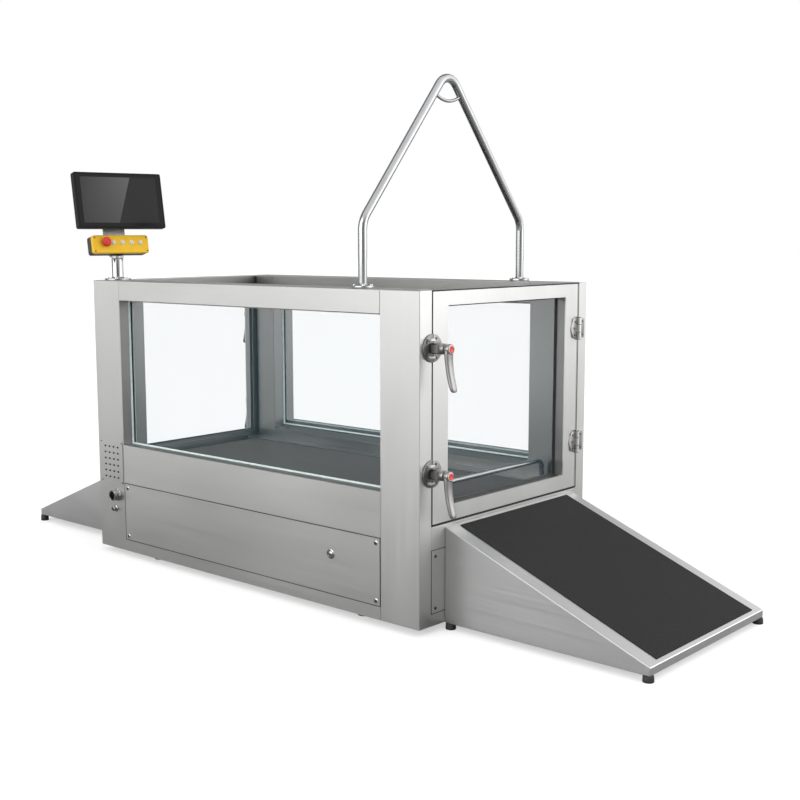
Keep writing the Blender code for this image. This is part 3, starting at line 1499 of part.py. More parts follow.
def ramp(side, sizes):
    """Folded ramp on rubber feet: sloping top, closed sides and a return round the open underside."""
    reach, top, lip, under = sizes
    sx = 1 if side == "right" else -1
    near = END_X + GAP
    far = near + reach
    slope = (top - lip) / reach
    profile = [(near, under), (near, top), (far, lip), (far, under)]
    made = prism(
        f"ramp_{side}", [(x * sx, z) for x, z in profile], "Y", RAMP_FRONT, RAMP_BACK, STEEL
    )
    soften(made, FOLD, 1, 12)
    drop = SHEET * math.sqrt(1 + slope * slope)
    inner_near, inner_far = near + SHEET, far - SHEET
    inner = [
        (inner_near, under + SHEET),
        (inner_near, top - slope * SHEET - drop),
        (inner_far, lip + slope * SHEET - drop),
        (inner_far, under + SHEET),
    ]
    span = (RAMP_FRONT + SHEET, RAMP_BACK - SHEET)
    hollow = prism("hollow", [(x * sx, z) for x, z in inner], "Y", *span)
    mouth = box(
        "mouth",
        (sx * (near + RAMP_RETURN), sx * (far - RAMP_RETURN)),
        (RAMP_FRONT + RAMP_RETURN, RAMP_BACK - RAMP_RETURN),
        (under - SHEET, under + 2 * SHEET),
    )
    cut(made, hollow, mouth)
    feet = []
    inset = RAMP_FOOT_INSET
    for x in (near + inset + RAMP_FOOT_RADIUS - inset, far - inset):
        for y in (RAMP_FRONT + inset, RAMP_BACK - inset):
            shape = [
                (RAMP_FOOT_RADIUS, 0),
                (RAMP_FOOT_RADIUS, under - 0.002),
                (RAMP_FOOT_RADIUS * 0.55, under - 0.001),
                (RAMP_FOOT_RADIUS * 0.55, under + SHEET + 0.004),
            ]
            feet.append(turned("foot", shape, "Z", (sx * x, y, 0), steps=10))
    fuse(made, *feet)

    start, end = near + MAT_TOP_EDGE, far - MAT_LIP

    def height(x):
        return top - slope * (x - near)

    lift = GAP * math.sqrt(1 + slope * slope)
    thick = MAT_THICKNESS * math.sqrt(1 + slope * slope)
    sheet = [
        (start, height(start) + lift),
        (start, height(start) + lift + thick),
        (end, height(end) + lift + thick),
        (end, height(end) + lift),
    ]
    mat = prism(
        f"ramp_{side}_mat",
        [(x * sx, z) for x, z in sheet],
        "Y",
        RAMP_FRONT + MAT_FRONT,
        RAMP_BACK - MAT_BACK,
        RUBBER,
    )
    carry(pivot(f"ramp axis {side}", (sx * near, 0, under)), made, mat)


POSTS = housing()
end_panels()
base()
treadmill()
bars()
front_fittings(POSTS)
drive_holes(POSTS)
control_stand()
for SIDE in ("right", "left"):
    door(SIDE, POSTS)
ramp("right", RAMP_RIGHT)
ramp("left", RAMP_LEFT)
for piece in bpy.data.objects:
    if piece.parent is None:
        piece.location -= FOOTPRINT_MIDDLE
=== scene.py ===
"""The looks of an underwater treadmill for dogs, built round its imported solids.

Metres, +Z up, the origin on the floor under the middle of the footprint. The belt runs along X,
the control stand is on the -Y side, and the longer ramp goes down towards +X.
"""

import math

import bmesh
import bpy
from mathutils import Matrix, Vector


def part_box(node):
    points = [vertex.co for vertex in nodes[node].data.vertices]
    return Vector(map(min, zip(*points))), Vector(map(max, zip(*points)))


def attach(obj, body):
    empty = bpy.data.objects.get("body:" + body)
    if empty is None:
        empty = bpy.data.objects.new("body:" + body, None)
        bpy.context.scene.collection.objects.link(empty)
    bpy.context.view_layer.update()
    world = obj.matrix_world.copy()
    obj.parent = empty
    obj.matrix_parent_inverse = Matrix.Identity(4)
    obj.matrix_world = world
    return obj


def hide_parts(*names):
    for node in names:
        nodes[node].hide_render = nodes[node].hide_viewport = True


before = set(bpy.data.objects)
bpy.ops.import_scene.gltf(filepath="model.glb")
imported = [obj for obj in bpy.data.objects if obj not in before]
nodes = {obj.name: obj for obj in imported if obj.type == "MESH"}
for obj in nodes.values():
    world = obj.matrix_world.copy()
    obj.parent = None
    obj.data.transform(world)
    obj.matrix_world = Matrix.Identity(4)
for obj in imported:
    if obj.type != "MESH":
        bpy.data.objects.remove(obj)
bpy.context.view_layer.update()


# ---------------------------------------------------------------------------------------------
# Studio: a pale seamless floor and four soft panels: a bright one before the tank's front, a wide
# one behind it on the right, and weak ones overhead and on the left. The gaps between them stay
# dark, which gives polished tube its dark core. Seen straight, sky and floor are white.
def linear(code):
    """An sRGB hex colour as the linear values that a shader takes."""
    parts = [int(code[i : i + 2], 16) / 255 for i in (0, 2, 4)]
    return (*(p / 12.92 if p <= 0.04045 else ((p + 0.055) / 1.055) ** 2.4 for p in parts), 1.0)


def add(tree, kind, values=None, links=None, **settings):
    """One node with its settings, its sockets' values and the outputs that feed it."""
    node = tree.nodes.new(kind)
    for name, value in settings.items():
        setattr(node, name, value)
    for socket, value in (values or {}).items():
        node.inputs[socket].default_value = value
    for socket, source in (links or {}).items():
        tree.links.new(source, node.inputs[socket])
    return node


def finish(name, colour, **values):
    """A material of one Principled shader, with the Object coordinates that its pattern reads."""
    look = bpy.data.materials.new(name)
    look.use_nodes = True
    tree = look.node_tree
    shader = tree.nodes["Principled BSDF"]
    shader.inputs["Base Color"].default_value = linear(colour)
    look.diffuse_color = linear(colour)
    for socket, value in values.items():
        shader.inputs[socket.replace("_", " ")].default_value = value
    return look, tree, shader, add(tree, "ShaderNodeTexCoord").outputs["Object"]


studio = bpy.context.scene
studio.view_settings.view_transform = "Standard"
world = bpy.data.worlds.new("studio")
studio.world = world
world.use_nodes = True
sky = world.node_tree
toward = add(sky, "ShaderNodeTexCoord").outputs["Generated"]
SKY = (  # direction of each soft panel, the dot products where it starts and is full, brightness
    ((0.69, 0.71, 0.12), 0.35, 0.92, 1.75),
    ((-0.15, -0.98, 0.12), 0.73, 0.90, 3.50),
    ((0.0, 0.0, 1.0), 0.45, 0.95, 0.25),
    ((-0.98, 0.10, 0.17), 0.86, 0.98, 0.45),
)
AMBIENT = 0.24
total = add(sky, "ShaderNodeValue").outputs[0]
total.default_value = AMBIENT
for direction, low, high, strength in SKY:
    lined_up = add(
        sky, "ShaderNodeVectorMath", {1: direction}, {0: toward}, operation="DOT_PRODUCT"
    )
    glow = add(
        sky, "ShaderNodeMapRange",
        {"From Min": low, "From Max": high, "To Min": 0.0, "To Max": strength},
        {"Value": lined_up.outputs["Value"]}, interpolation_type="SMOOTHSTEP",
    )
    total = add(
        sky, "ShaderNodeMath", None, {0: total, 1: glow.outputs["Result"]}, operation="ADD"
    ).outputs[0]
seen = add(sky, "ShaderNodeLightPath").outputs["Is Camera Ray"]
shown = add(sky, "ShaderNodeMix", {3: 1.0}, {0: seen, 2: total}, data_type="FLOAT")
sky.links.new(shown.outputs[0], sky.nodes["Background"].inputs["Strength"])
sky.nodes["Background"].inputs["Color"].default_value = (1.0, 1.0, 1.0, 1.0)

floor_mesh = bpy.data.meshes.new("studio_floor")
ground = bmesh.new()
bmesh.ops.create_grid(ground, x_segments=1, y_segments=1, size=60.0)
ground.to_mesh(floor_mesh)
ground.free()
floor = bpy.data.objects.new("studio_floor", floor_mesh)
studio.collection.objects.link(floor)
paper, tree, shader, where = finish("seamless_paper", "F4F4F4", Roughness=0.9)
fibre = add(tree, "ShaderNodeTexNoise", {"Scale": 60.0, "Detail": 3.0}, {"Vector": where})
tone = add(
    tree, "ShaderNodeMix", {6: linear("B7B7B7"), 7: linear("B9B9B9")}, {0: fibre.outputs["Fac"]},
    data_type="RGBA",
)
straight = add(tree, "ShaderNodeLightPath").outputs["Is Camera Ray"]
SHADED, OPEN = 1.5, 4.6  # metres from the middle: what metal mirrors is darker near the tank
away = add(tree, "ShaderNodeVectorMath", None, {0: where}, operation="LENGTH")
spread = add(
    tree, "ShaderNodeMapRange", {"From Min": SHADED, "From Max": OPEN},
    {"Value": away.outputs["Value"]}, interpolation_type="SMOOTHSTEP",
)
# Painted shade: for all rays but the camera's, the floor is darker near the tank, as if the tank
# shaded it.
mirrored_painted_shade = add(
    tree, "ShaderNodeMix", {6: linear("7A7A7A"), 7: linear("C0C0C0")},
    {0: spread.outputs["Result"]}, data_type="RGBA",
)
lit = add(
    tree, "ShaderNodeMix", None, {0: straight, 6: mirrored_painted_shade.outputs[2], 7: tone.outputs[2]},
    data_type="RGBA",
)
tree.links.new(lit.outputs[2], shader.inputs["Base Color"])
PAPER_GLOW = 0.52
glow = add(tree, "ShaderNodeMath", {1: PAPER_GLOW}, {0: straight}, operation="MULTIPLY")
tree.links.new(glow.outputs[0], shader.inputs["Emission Strength"])
shader.inputs["Emission Color"].default_value = (1.0, 1.0, 1.0, 1.0)
floor_mesh.materials.append(paper)


def lamp(name, kind, place, aim, strength, **settings):
    """A light at a place, turned to what it lights."""
    light = bpy.data.lights.new(name, kind)
    light.energy = strength
    for setting, value in settings.items():
        setattr(light, setting, value)
    holder = bpy.data.objects.new(name, light)
    holder.location = place
    holder.rotation_euler = (Vector(aim) - Vector(place)).to_track_quat("-Z", "Y").to_euler()
    studio.collection.objects.link(holder)


lamp("ceiling", "SUN", (1.3, -1.7, 4.6), (0.0, 0.0, 0.0), 1.15, angle=math.radians(80.0))
lamp(
    "right_wall", "AREA", (5.2, 3.0, 2.2), (0.6, 0.0, 0.7), 55.0,
    shape="RECTANGLE", size=2.4, size_y=3.4,
)
lamp(
    "left_strip", "AREA", (-4.4, -3.0, 2.2), (-0.5, -0.3, 0.8), 5.0,
    shape="RECTANGLE", size=0.5, size_y=3.4,
)

AZIMUTH, DOWN, ROLL = 42.27, 7.74, -0.23  # degrees
lens = bpy.data.cameras.new("camera")
lens.lens, lens.sensor_width = 54.65, 36.0
lens.shift_x, lens.shift_y = 0.0382, 0.0054
lens.clip_start, lens.clip_end = 0.05, 200.0
camera = bpy.data.objects.new("camera", lens)
camera.location = (3.4778, -3.5635, 1.3711)
camera.rotation_mode = "QUATERNION"
camera.rotation_quaternion = (
    Matrix.Rotation(math.radians(AZIMUTH), 4, "Z")
    @ Matrix.Rotation(math.radians(90.0 - DOWN), 4, "X")
    @ Matrix.Rotation(math.radians(ROLL), 4, "Z")
).to_quaternion()
studio.collection.objects.link(camera)
studio.camera = camera


# ---------------------------------------------------------------------------------------------
# Tank housing: 304 stainless sheet with a number 4 finish, folded, welded, and brushed again over
# the welds, the grain the long way of each sheet. Faces inside the tank's outline are painted a
# darker grey: painted shade. The belt's grit marks are about 0.3 mm apart; they are drawn 3 mm
# apart to show.
TANK = Vector((-0.055, 0.0725, 0.0))  # the floor under the tank's middle, where sizes start
END_X, SIDE_Y, TANK_TOP = 0.925, 0.515, 1.200


def dress(look, *names):
    """Gives CAD nodes a material in place of the plain one that they came with."""
    for name in names:
        mesh = nodes[name].data
        mesh.materials.clear()
        mesh.materials.append(look)


def vary(tree, shader, pattern, tones=None, rough=None, relief=None, span=(0.0, 1.0)):
    """Lets a pattern rule a surface: two tones, two roughnesses, or a relief's strength and depth.

    The roughness runs from its first value to its second over the pattern's span.
    """
    if tones:
        mixed = add(
            tree, "ShaderNodeMix", {6: linear(tones[0]), 7: linear(tones[1])}, {0: pattern},
            data_type="RGBA",
        )
        tree.links.new(mixed.outputs[2], shader.inputs["Base Color"])
    if rough:
        ranged = add(
            tree, "ShaderNodeMapRange",
            {"From Min": span[0], "From Max": span[1], "To Min": rough[0], "To Max": rough[1]},
            {"Value": pattern},
        )
        tree.links.new(ranged.outputs["Result"], shader.inputs["Roughness"])
    if relief:
        bump = add(
            tree, "ShaderNodeBump", {"Strength": relief[0], "Distance": relief[1]},
            {"Height": pattern},
        )
        tree.links.new(bump.outputs["Normal"], shader.inputs["Normal"])


GRAIN_LONG, GRAIN_FINE = 1.2, 330.0  # marks a metre along the grain and across it


def brushed_steel(name, grain, colour, low, high, smear=0.15):
    """Brushed sheet whose grain runs along an axis, with its roughness between low and high."""
    look, tree, shader, where = finish(name, colour, Metallic=1.0)
    along = tuple(GRAIN_LONG if axis == grain else GRAIN_FINE for axis in "XYZ")
    drawn = add(tree, "ShaderNodeMapping", {"Scale": along}, {"Vector": where})
    scratch = add(
        tree, "ShaderNodeTexNoise", {"Scale": 1.0, "Detail": 4.0, "Roughness": 0.65},
        {"Vector": drawn.outputs["Vector"]},
    )
    wipes = tuple(0.35 if axis == grain else 1.0 for axis in "XYZ")
    wiped = add(tree, "ShaderNodeMapping", {"Scale": wipes}, {"Vector": where})
    cloud = add(
        tree, "ShaderNodeTexNoise", {"Scale": 3.4, "Detail": 3.0, "Roughness": 0.55},
        {"Vector": wiped.outputs["Vector"]},
    )
    both = add(
        tree, "ShaderNodeMix", {0: 0.45}, {2: scratch.outputs["Fac"], 3: cloud.outputs["Fac"]},
        data_type="FLOAT",
    )
    dark = tuple(c * (1.0 - smear) for c in linear(colour)[:3]) + (1.0,)
    light = tuple(min(1.0, c * (1.0 + smear * 0.7)) for c in linear(colour)[:3]) + (1.0,)
    tone = add(tree, "ShaderNodeMix", {6: dark, 7: light}, {0: both.outputs[0]}, data_type="RGBA")
    sides = add(tree, "ShaderNodeSeparateXYZ", None, {"Vector": where})
    within = None
    for axis, middle, reach in (
        ("X", TANK.x, END_X - 0.004), ("Y", TANK.y, SIDE_Y - 0.003), ("Z", 0.0, TANK_TOP - 0.002)
    ):
        off = add(
            tree, "ShaderNodeMath", {1: middle}, {0: sides.outputs[axis]}, operation="SUBTRACT"
        )
        far = add(tree, "ShaderNodeMath", None, {0: off.outputs[0]}, operation="ABSOLUTE")
        near = add(tree, "ShaderNodeMath", {1: reach}, {0: far.outputs[0]}, operation="LESS_THAN")
        if within:
            near = add(
                tree, "ShaderNodeMath", None, {0: within, 1: near.outputs[0]},
                operation="MULTIPLY",
            )
        within = near.outputs[0]
    # Painted shade: faces inside the tank's outline take a flat darker grey, for the shade inside
    # the tank.
    inner_painted_shade = add(
        tree, "ShaderNodeMix", {7: linear("8C8C8A")}, {0: within, 6: tone.outputs[2]},
        data_type="RGBA",
    )
    tree.links.new(inner_painted_shade.outputs[2], shader.inputs["Base Color"])
    vary(tree, shader, both.outputs[0], rough=(low, high), span=(0.32, 0.68))
    vary(tree, shader, scratch.outputs["Fac"], relief=(0.12, 0.0004))
    return look


sheet_along = brushed_steel("brushed_stainless_long", "X", "CACAC8", 0.30, 0.46)
sheet_up = brushed_steel("brushed_stainless_upright", "Z", "CCCCCA", 0.30, 0.46)
sheet_across = brushed_steel("brushed_stainless_across", "Y", "CACAC8", 0.30, 0.46)
dress(sheet_up, "post_front_left", "post_front_right", "post_back_left", "post_back_right")
dress(sheet_along, "top_beam_front", "top_beam_back", "lower_panel_front", "lower_panel_back")
dress(sheet_along, "access_panel", "base_frame")
dress(sheet_across, "end_panel_right", "end_panel_left", "end_cover_right", "monitor_bracket")


# ---------------------------------------------------------------------------------------------
# Fixings of the housing: black-oxide button heads hold the access panel, on stainless washers, the
# end cover and the vent plate; the oxide leaves them dark against the sheet. A black sheet with
# raised slots at the vent is painted shade for the holes' dark inside, and black strips in the
# covers' gaps are painted shade for the gaps.
oxide, tree, shader, where = finish("black_oxide_screw", "4B4A49", Metallic=1.0, Roughness=0.40)
mottle = add(tree, "ShaderNodeTexNoise", {"Scale": 260.0, "Detail": 3.0}, {"Vector": where})
vary(tree, shader, mottle.outputs["Fac"], tones=("3A3938", "5C5B59"))
bright_steel, tree, shader, where = finish("turned_stainless", "CFCFCD", Metallic=1.0)
lathe = add(tree, "ShaderNodeTexNoise", {"Scale": 420.0, "Detail": 2.0}, {"Vector": where})
vary(tree, shader, lathe.outputs["Fac"], rough=(0.16, 0.30))


def facing(axis, place):
    """Where a shape stands, with its own Z laid along X, against Y, or upright."""
    angle, about = {"X": (math.pi / 2, "Y"), "-Y": (math.pi / 2, "X"), "Z": (0.0, "Z")}[axis]
    return Matrix.Translation(place) @ Matrix.Rotation(angle, 4, about)


def place_new(made, before, at):
    """Moves what was added since before to where it stands."""
    fresh = [corner for corner in made.verts if corner not in before]
    bmesh.ops.transform(made, matrix=at, verts=fresh)


def turn(made, profile, at, steps):
    """Spins a profile of (radius, height) into a closed shape that stands at a matrix."""
    before = set(made.verts)
    corners = [made.verts.new((radius, 0.0, height)) for radius, height in profile]
    edges = [made.edges.new(pair) for pair in zip(corners, corners[1:])]
    bmesh.ops.spin(
        made, geom=corners + edges, cent=(0, 0, 0), axis=(0, 0, 1), dvec=(0, 0, 0),
        angle=math.tau, steps=steps, use_merge=True,
    )
    place_new(made, before, at)


def slab(made, outline, low, high, at, round_by=0.0, segments=2):
    """A flat shape with an outline, from a low to a high level, its edges rounded over."""
    before = set(made.verts)
    corners = [made.verts.new((a, b, low)) for a, b in outline]
    base = made.faces.new(corners)
    raised = bmesh.ops.extrude_face_region(made, geom=[base])["geom"]
    top = [item for item in raised if isinstance(item, bmesh.types.BMVert)]
    bmesh.ops.translate(made, verts=top, vec=(0, 0, high - low))
    if round_by:
        fresh = [v for v in made.verts if v not in before]
        edges = {edge for v in fresh for edge in v.link_edges}
        rim = [e for e in edges if abs(e.verts[0].co.z - e.verts[1].co.z) < 1e-7]
        bmesh.ops.bevel(
            made, geom=rim, offset=round_by, segments=segments, profile=0.5, affect="EDGES",
            material=-1, offset_type="OFFSET",
        )
    place_new(made, before, at)


def oblong(a0, a1, b0, b1, radius=0.0, steps=5):
    """The outline of a rectangle with rounded corners."""
    if not radius:
        return [(a0, b0), (a1, b0), (a1, b1), (a0, b1)]
    corners = (
        (a1 - radius, b0 + radius, -90), (a1 - radius, b1 - radius, 0),
        (a0 + radius, b1 - radius, 90), (a0 + radius, b0 + radius, 180),
    )
    return [
        (
            a + radius * math.cos(math.radians(start + 90 * i / steps)),
            b + radius * math.sin(math.radians(start + 90 * i / steps)),
        )
        for a, b, start in corners
        for i in range(steps + 1)
    ]


def piece(name, made, look, body, smooth=38.0, half_turn=False):
    """Makes a shape, drawn from the tank's middle, into a finished object that rides on a body."""
    bmesh.ops.remove_doubles(made, verts=made.verts, dist=1e-6)
    bmesh.ops.recalc_face_normals(made, faces=made.faces)
    if half_turn:
        bmesh.ops.transform(made, matrix=Matrix.Rotation(math.pi, 4, "Z"), verts=made.verts)
    bmesh.ops.translate(made, verts=made.verts, vec=TANK)
    mesh = bpy.data.meshes.new(name)
    made.to_mesh(mesh)
    made.free()
    for face in mesh.polygons:
        face.use_smooth = True
    mesh.set_sharp_from_angle(angle=math.radians(smooth))
    mesh.materials.append(look)
    thing = bpy.data.objects.new(name, mesh)
    studio.collection.objects.link(thing)
    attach(thing, body)
    return thing


WASHER_THICK = 0.0009


def screw(made, at, radius, rise, washer=0.0):
    """A button-head screw, on a washer where it has one."""
    lift = 0.0
    if washer:
        lift = WASHER_THICK
        turn(made, [(0, 0), (washer, 0), (washer, lift), (radius, lift), (0, lift)], at, 20)
    turn(
        made,
        [
            (0, lift * 0.5), (radius, lift * 0.5), (radius, lift + rise * 0.25),
            (radius * 0.86, lift + rise * 0.78), (radius * 0.50, lift + rise), (0, lift + rise),
        ],
        at, 18,
    )


def from_middle(node):
    """A node's lowest and highest corners, measured from the tank's middle."""
    return [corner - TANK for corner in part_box(node)]


panel_screws, panel_washers, cover_screws = bmesh.new(), bmesh.new(), bmesh.new()
washer = [(0.0, 0.0), (0.0092, 0.0), (0.0092, 0.0007), (0.0085, 0.0011), (0.0, 0.0011)]
for x in (-0.7235, 0.7235):
    for z in (0.304, 0.0925):
        at = facing("-Y", (x, -SIDE_Y, z))
        screw(panel_screws, at, 0.0062, 0.0032)
        turn(panel_washers, washer, at, 24)
piece("panel_screws", panel_screws, oxide, "tank")
piece("panel_washers", panel_washers, bright_steel, "tank")
for y in (-0.4275, 0.4275):
    for z in (0.274, 0.087):
        screw(cover_screws, facing("X", (END_X, y, z)), 0.0058, 0.0030)
piece("end_cover_screws", cover_screws, oxide, "tank")
vent_low, vent_high = from_middle("vent_grille")
vent_screws = bmesh.new()
for x in (vent_low.x + 0.0065, vent_high.x - 0.0065):
    for z in (vent_low.z + 0.0085, vent_high.z - 0.0085):
        screw(vent_screws, facing("-Y", (x, vent_low.y, z)), 0.0034, 0.0014)
piece("vent_screws", vent_screws, oxide, "tank")
vent_steel = brushed_steel("vent_plate_stainless", "Z", "D0D0CF", 0.28, 0.40)
dress(vent_steel, "vent_grille")

black_parts_and_gap_shade, tree, shader, where = finish("black_edging_and_gap_shade", "131313", Roughness=0.7)
rubbed = add(tree, "ShaderNodeTexNoise", {"Scale": 60.0, "Detail": 3.0}, {"Vector": where})
vary(tree, shader, rubbed.outputs["Fac"], tones=("0C0C0C", "1C1C1B"))


def edging(made, across, up, wide, low, high, at):
    """A thin strip round a rectangle, dark in the gap between a cover and its frame: painted shade.
    """
    (a0, a1), (b0, b1) = across, up
    for sides in (
        (a0, a1, b0, b0 + wide), (a0, a1, b1 - wide, b1),
        (a0, a0 + wide, b0, b1), (a1 - wide, a1, b0, b1),
    ):
        slab(made, oblong(*sides), low, high, at)


UPRIGHT_FRONT = Matrix(((1, 0, 0, 0), (0, 0, -1, 0), (0, 1, 0, 0), (0, 0, 0, 1)))  # (x, z, -y)
FACE_X = Matrix(((0, 0, 1, 0), (1, 0, 0, 0), (0, 1, 0, 0), (0, 0, 0, 1)))  # (y, z, x)
# Painted shade: a black sheet with raised slots at the vent stands for the dark inside of its
# holes.
vent_painted_shade, tree, shader, where = finish("vent_holes_painted_shade", "151515", Roughness=0.9)
speckle = add(
    tree, "ShaderNodeTexVoronoi", {"Scale": 600.0, "Randomness": 0.2}, {"Vector": where}
)
vary(tree, shader, speckle.outputs["Distance"], tones=("0D0D0D", "202020"))
vent_shade_sheet = bmesh.new()
SHEET_BACK, SHEET_FACE = 0.51560, 0.51775
slab(
    vent_shade_sheet,
    oblong(vent_low.x + 0.008, vent_high.x - 0.008, vent_low.z + 0.008, vent_high.z - 0.008),
    SHEET_BACK, SHEET_FACE, UPRIGHT_FRONT,
)
VENT_X, VENT_Z = -0.8275, 0.410
SLOT_X, SLOT_Z = 0.0066, 0.0032  # half a slot
for column in range(4):
    for row in range(6):
        x, z = VENT_X + 0.0295 * (column - 1.5), VENT_Z + 0.0269 * (row - 2.5)
        slab(
            vent_shade_sheet, oblong(x - SLOT_X, x + SLOT_X, z - SLOT_Z, z + SLOT_Z, 0.0008),
            SHEET_FACE - 0.00005, SHEET_FACE + 0.00040, UPRIGHT_FRONT,
        )
piece("vent_hole_shade", vent_shade_sheet, vent_painted_shade, "tank")

GAP, STRIP = 0.0012, 0.0022  # round a cover, and the width of the edging in it
SUNK, PROUD = 0.0010, 0.0003
# Painted shade: black strips in the gaps round the access panel and the end cover stand for the
# shade in those gaps.
front_gap_shade, end_gap_shade = bmesh.new(), bmesh.new()
low, high = from_middle("access_panel")
edging(
    front_gap_shade, (low.x - GAP, high.x + GAP), (low.z - GAP, high.z + GAP), STRIP,
    SIDE_Y - SUNK, SIDE_Y + PROUD, UPRIGHT_FRONT,
)
piece("access_panel_gap_shade", front_gap_shade, black_parts_and_gap_shade, "tank")
low, high = from_middle("end_cover_right")
edging(
    end_gap_shade, (low.y - GAP, high.y + GAP), (low.z - GAP, high.z + GAP), STRIP,
    high.x - SUNK, high.x + PROUD, FACE_X,
)
piece("end_cover_gap_shade", end_gap_shade, black_parts_and_gap_shade, "tank")

feet = bmesh.new()
pad = [
    (0, 0), (0.0262, 0), (0.0275, 0.0015), (0.0275, 0.0085), (0.0255, 0.0108), (0.0105, 0.0108),
    (0, 0.0108),
]
for x in (-0.60, 0.60):
    for y in (-0.44, 0.44):
        turn(feet, pad, facing("Z", (x, y, 0.0)), 32)
foot_rubber, tree, shader, where = finish("levelling_foot_rubber", "2A2A2B", Roughness=0.75)
dust = add(tree, "ShaderNodeTexNoise", {"Scale": 90.0, "Detail": 4.0}, {"Vector": where})
vary(tree, shader, dust.outputs["Fac"], tones=("1E1E1F", "3B3A38"))
piece("levelling_feet", feet, foot_rubber, "tank")


# ---------------------------------------------------------------------------------------------
# Windows: 12 mm toughened glass, let into a groove and sealed all round with clear silicone. A
# pane is nearly clear face on, and shows more of its blue-green tint and of the sky at a slant.
# The bead is drawn pale: a painted highlight, the pale line of light beside each reveal.
pane, tree, shader, where = finish("toughened_glass", "547E8B", Roughness=0.02, IOR=1.5)
edge_on = add(tree, "ShaderNodeLayerWeight", {"Blend": 0.5})
steep = add(tree, "ShaderNodeMath", {1: 4.0}, {0: edge_on.outputs["Facing"]}, operation="POWER")
streaks = add(tree, "ShaderNodeMapping", {"Scale": (2.0, 2.0, 0.5)}, {"Vector": where})
drawn = add(
    tree, "ShaderNodeTexNoise", {"Scale": 2.6, "Detail": 2.0},
    {"Vector": streaks.outputs["Vector"]},
)
veil = add(
    tree, "ShaderNodeMapRange", {"To Min": 0.047, "To Max": 0.053}, {"Value": drawn.outputs["Fac"]}
)
cover = add(
    tree, "ShaderNodeMath", {1: 0.34}, {0: steep.outputs["Value"], 2: veil.outputs["Result"]},
    operation="MULTIPLY_ADD",
)
tree.links.new(cover.outputs["Value"], shader.inputs["Alpha"])
dress(pane, "window_front", "window_back", "door_right_glass", "door_left_glass")

# Painted highlight: the bead is a pale opaque colour, standing for the line of light along clear
# silicone.
silicone_painted_highlight, tree, shader, where = finish("silicone_bead_painted_highlight", "C9D6D4", Roughness=0.28, IOR=1.41)
lumps = add(tree, "ShaderNodeTexNoise", {"Scale": 45.0, "Detail": 2.0}, {"Vector": where})
vary(tree, shader, lumps.outputs["Fac"], tones=("A9B9B7", "DDE7E5"))


def bead(made, across, up, level, proud, leg, axis):
    """A filled corner of sealant round an opening: leg wide on the glass, proud on the frame."""
    (a0, a1), (b0, b1) = across, up

    def corners(inset, height):
        places = (
            (a0 + inset, b0 + inset), (a1 - inset, b0 + inset),
            (a1 - inset, b1 - inset), (a0 + inset, b1 - inset),
        )
        line = [
            made.verts.new((a, height, b) if axis == "Y" else (height, a, b)) for a, b in places
        ]
        return [made.edges.new((line[i], line[(i + 1) % 4])) for i in range(4)]

    on_glass, corner = corners(leg, level), corners(0.0, level)
    on_frame = corners(0.0, level + proud)
    for first, second in ((on_glass, corner), (corner, on_frame), (on_frame, on_glass)):
        bmesh.ops.bridge_loops(made, edges=first + second)


WINDOW_X, WINDOW_TOP = (-0.7445, 0.7445), 1.1155
OUTER_SILL, INNER_SILL = 0.4935, 0.4755
OUTER_FACE, INNER_FACE, FILLET = 0.4612, 0.4488, 0.0060
for name, side in (("front", -1), ("back", 1)):
    beads = bmesh.new()
    bead(
        beads, WINDOW_X, (OUTER_SILL, WINDOW_TOP), side * OUTER_FACE, side * FILLET, FILLET, "Y"
    )
    bead(
        beads, WINDOW_X, (INNER_SILL, WINDOW_TOP), side * INNER_FACE, side * -FILLET, FILLET, "Y"
    )
    piece(f"window_{name}_sealant", beads, silicone_painted_highlight, "tank", smooth=20.0)


# ---------------------------------------------------------------------------------------------
# Front fittings: the outlet is a bent stainless pipe with a screwed union nut at its mouth, the
# drain nipple is turned from bar, and the panel's sight plug is a domed, polished screw cap.
polished, tree, shader, where = finish("polished_stainless", "A4A5A6", Metallic=1.0)
wear = add(tree, "ShaderNodeTexNoise", {"Scale": 9.0, "Detail": 2.0}, {"Vector": where})
vary(
    tree, shader, wear.outputs["Fac"], tones=("9C9D9E", "ACADAE"), rough=(0.13, 0.19),
    span=(0.3, 0.7),
)
dress(polished, "water_outlet", "drive_roller", "idler_roller", "motor_pulley")

plug = bmesh.new()
turn(
    plug,
    [
        (0, -0.0060), (0.0125, -0.0060), (0.0125, 0.0), (0.0190, 0.0), (0.0190, 0.0012),
        (0.0178, 0.0026), (0.0142, 0.0030), (0.0136, 0.0018), (0.0126, 0.0018), (0.0120, 0.0030),
        (0.0098, 0.0046), (0.0058, 0.0056), (0, 0.0060),
    ],
    facing("-Y", (0.5007, -SIDE_Y - 0.0002, 0.2265)), 40,
)
made = piece("sight_plug_cap", plug, polished, "tank", smooth=50.0)
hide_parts("sight_plug")

mouth = bmesh.new()
at = facing("-Y", (-0.797, -SIDE_Y, 0.267))
turn(
    mouth,
    [(0.0195, 0.002), (0.0272, 0.002), (0.0272, 0.0075), (0.0258, 0.0090), (0.0195, 0.0090)],
    at, 6,
)
turn(
    mouth,
    [
        (0.0192, 0.006), (0.0238, 0.006), (0.0238, 0.0200), (0.0228, 0.0204), (0.0238, 0.0212),
        (0.0238, 0.0228), (0.0228, 0.0236), (0.0238, 0.0244), (0.0238, 0.0300), (0.0226, 0.0312),
        (0.0196, 0.0312), (0.0186, 0.0300), (0.0186, -0.020), (0.0192, -0.020), (0.0192, 0.006),
    ],
    at, 40,
)
piece("outlet_union", mouth, polished, "tank")
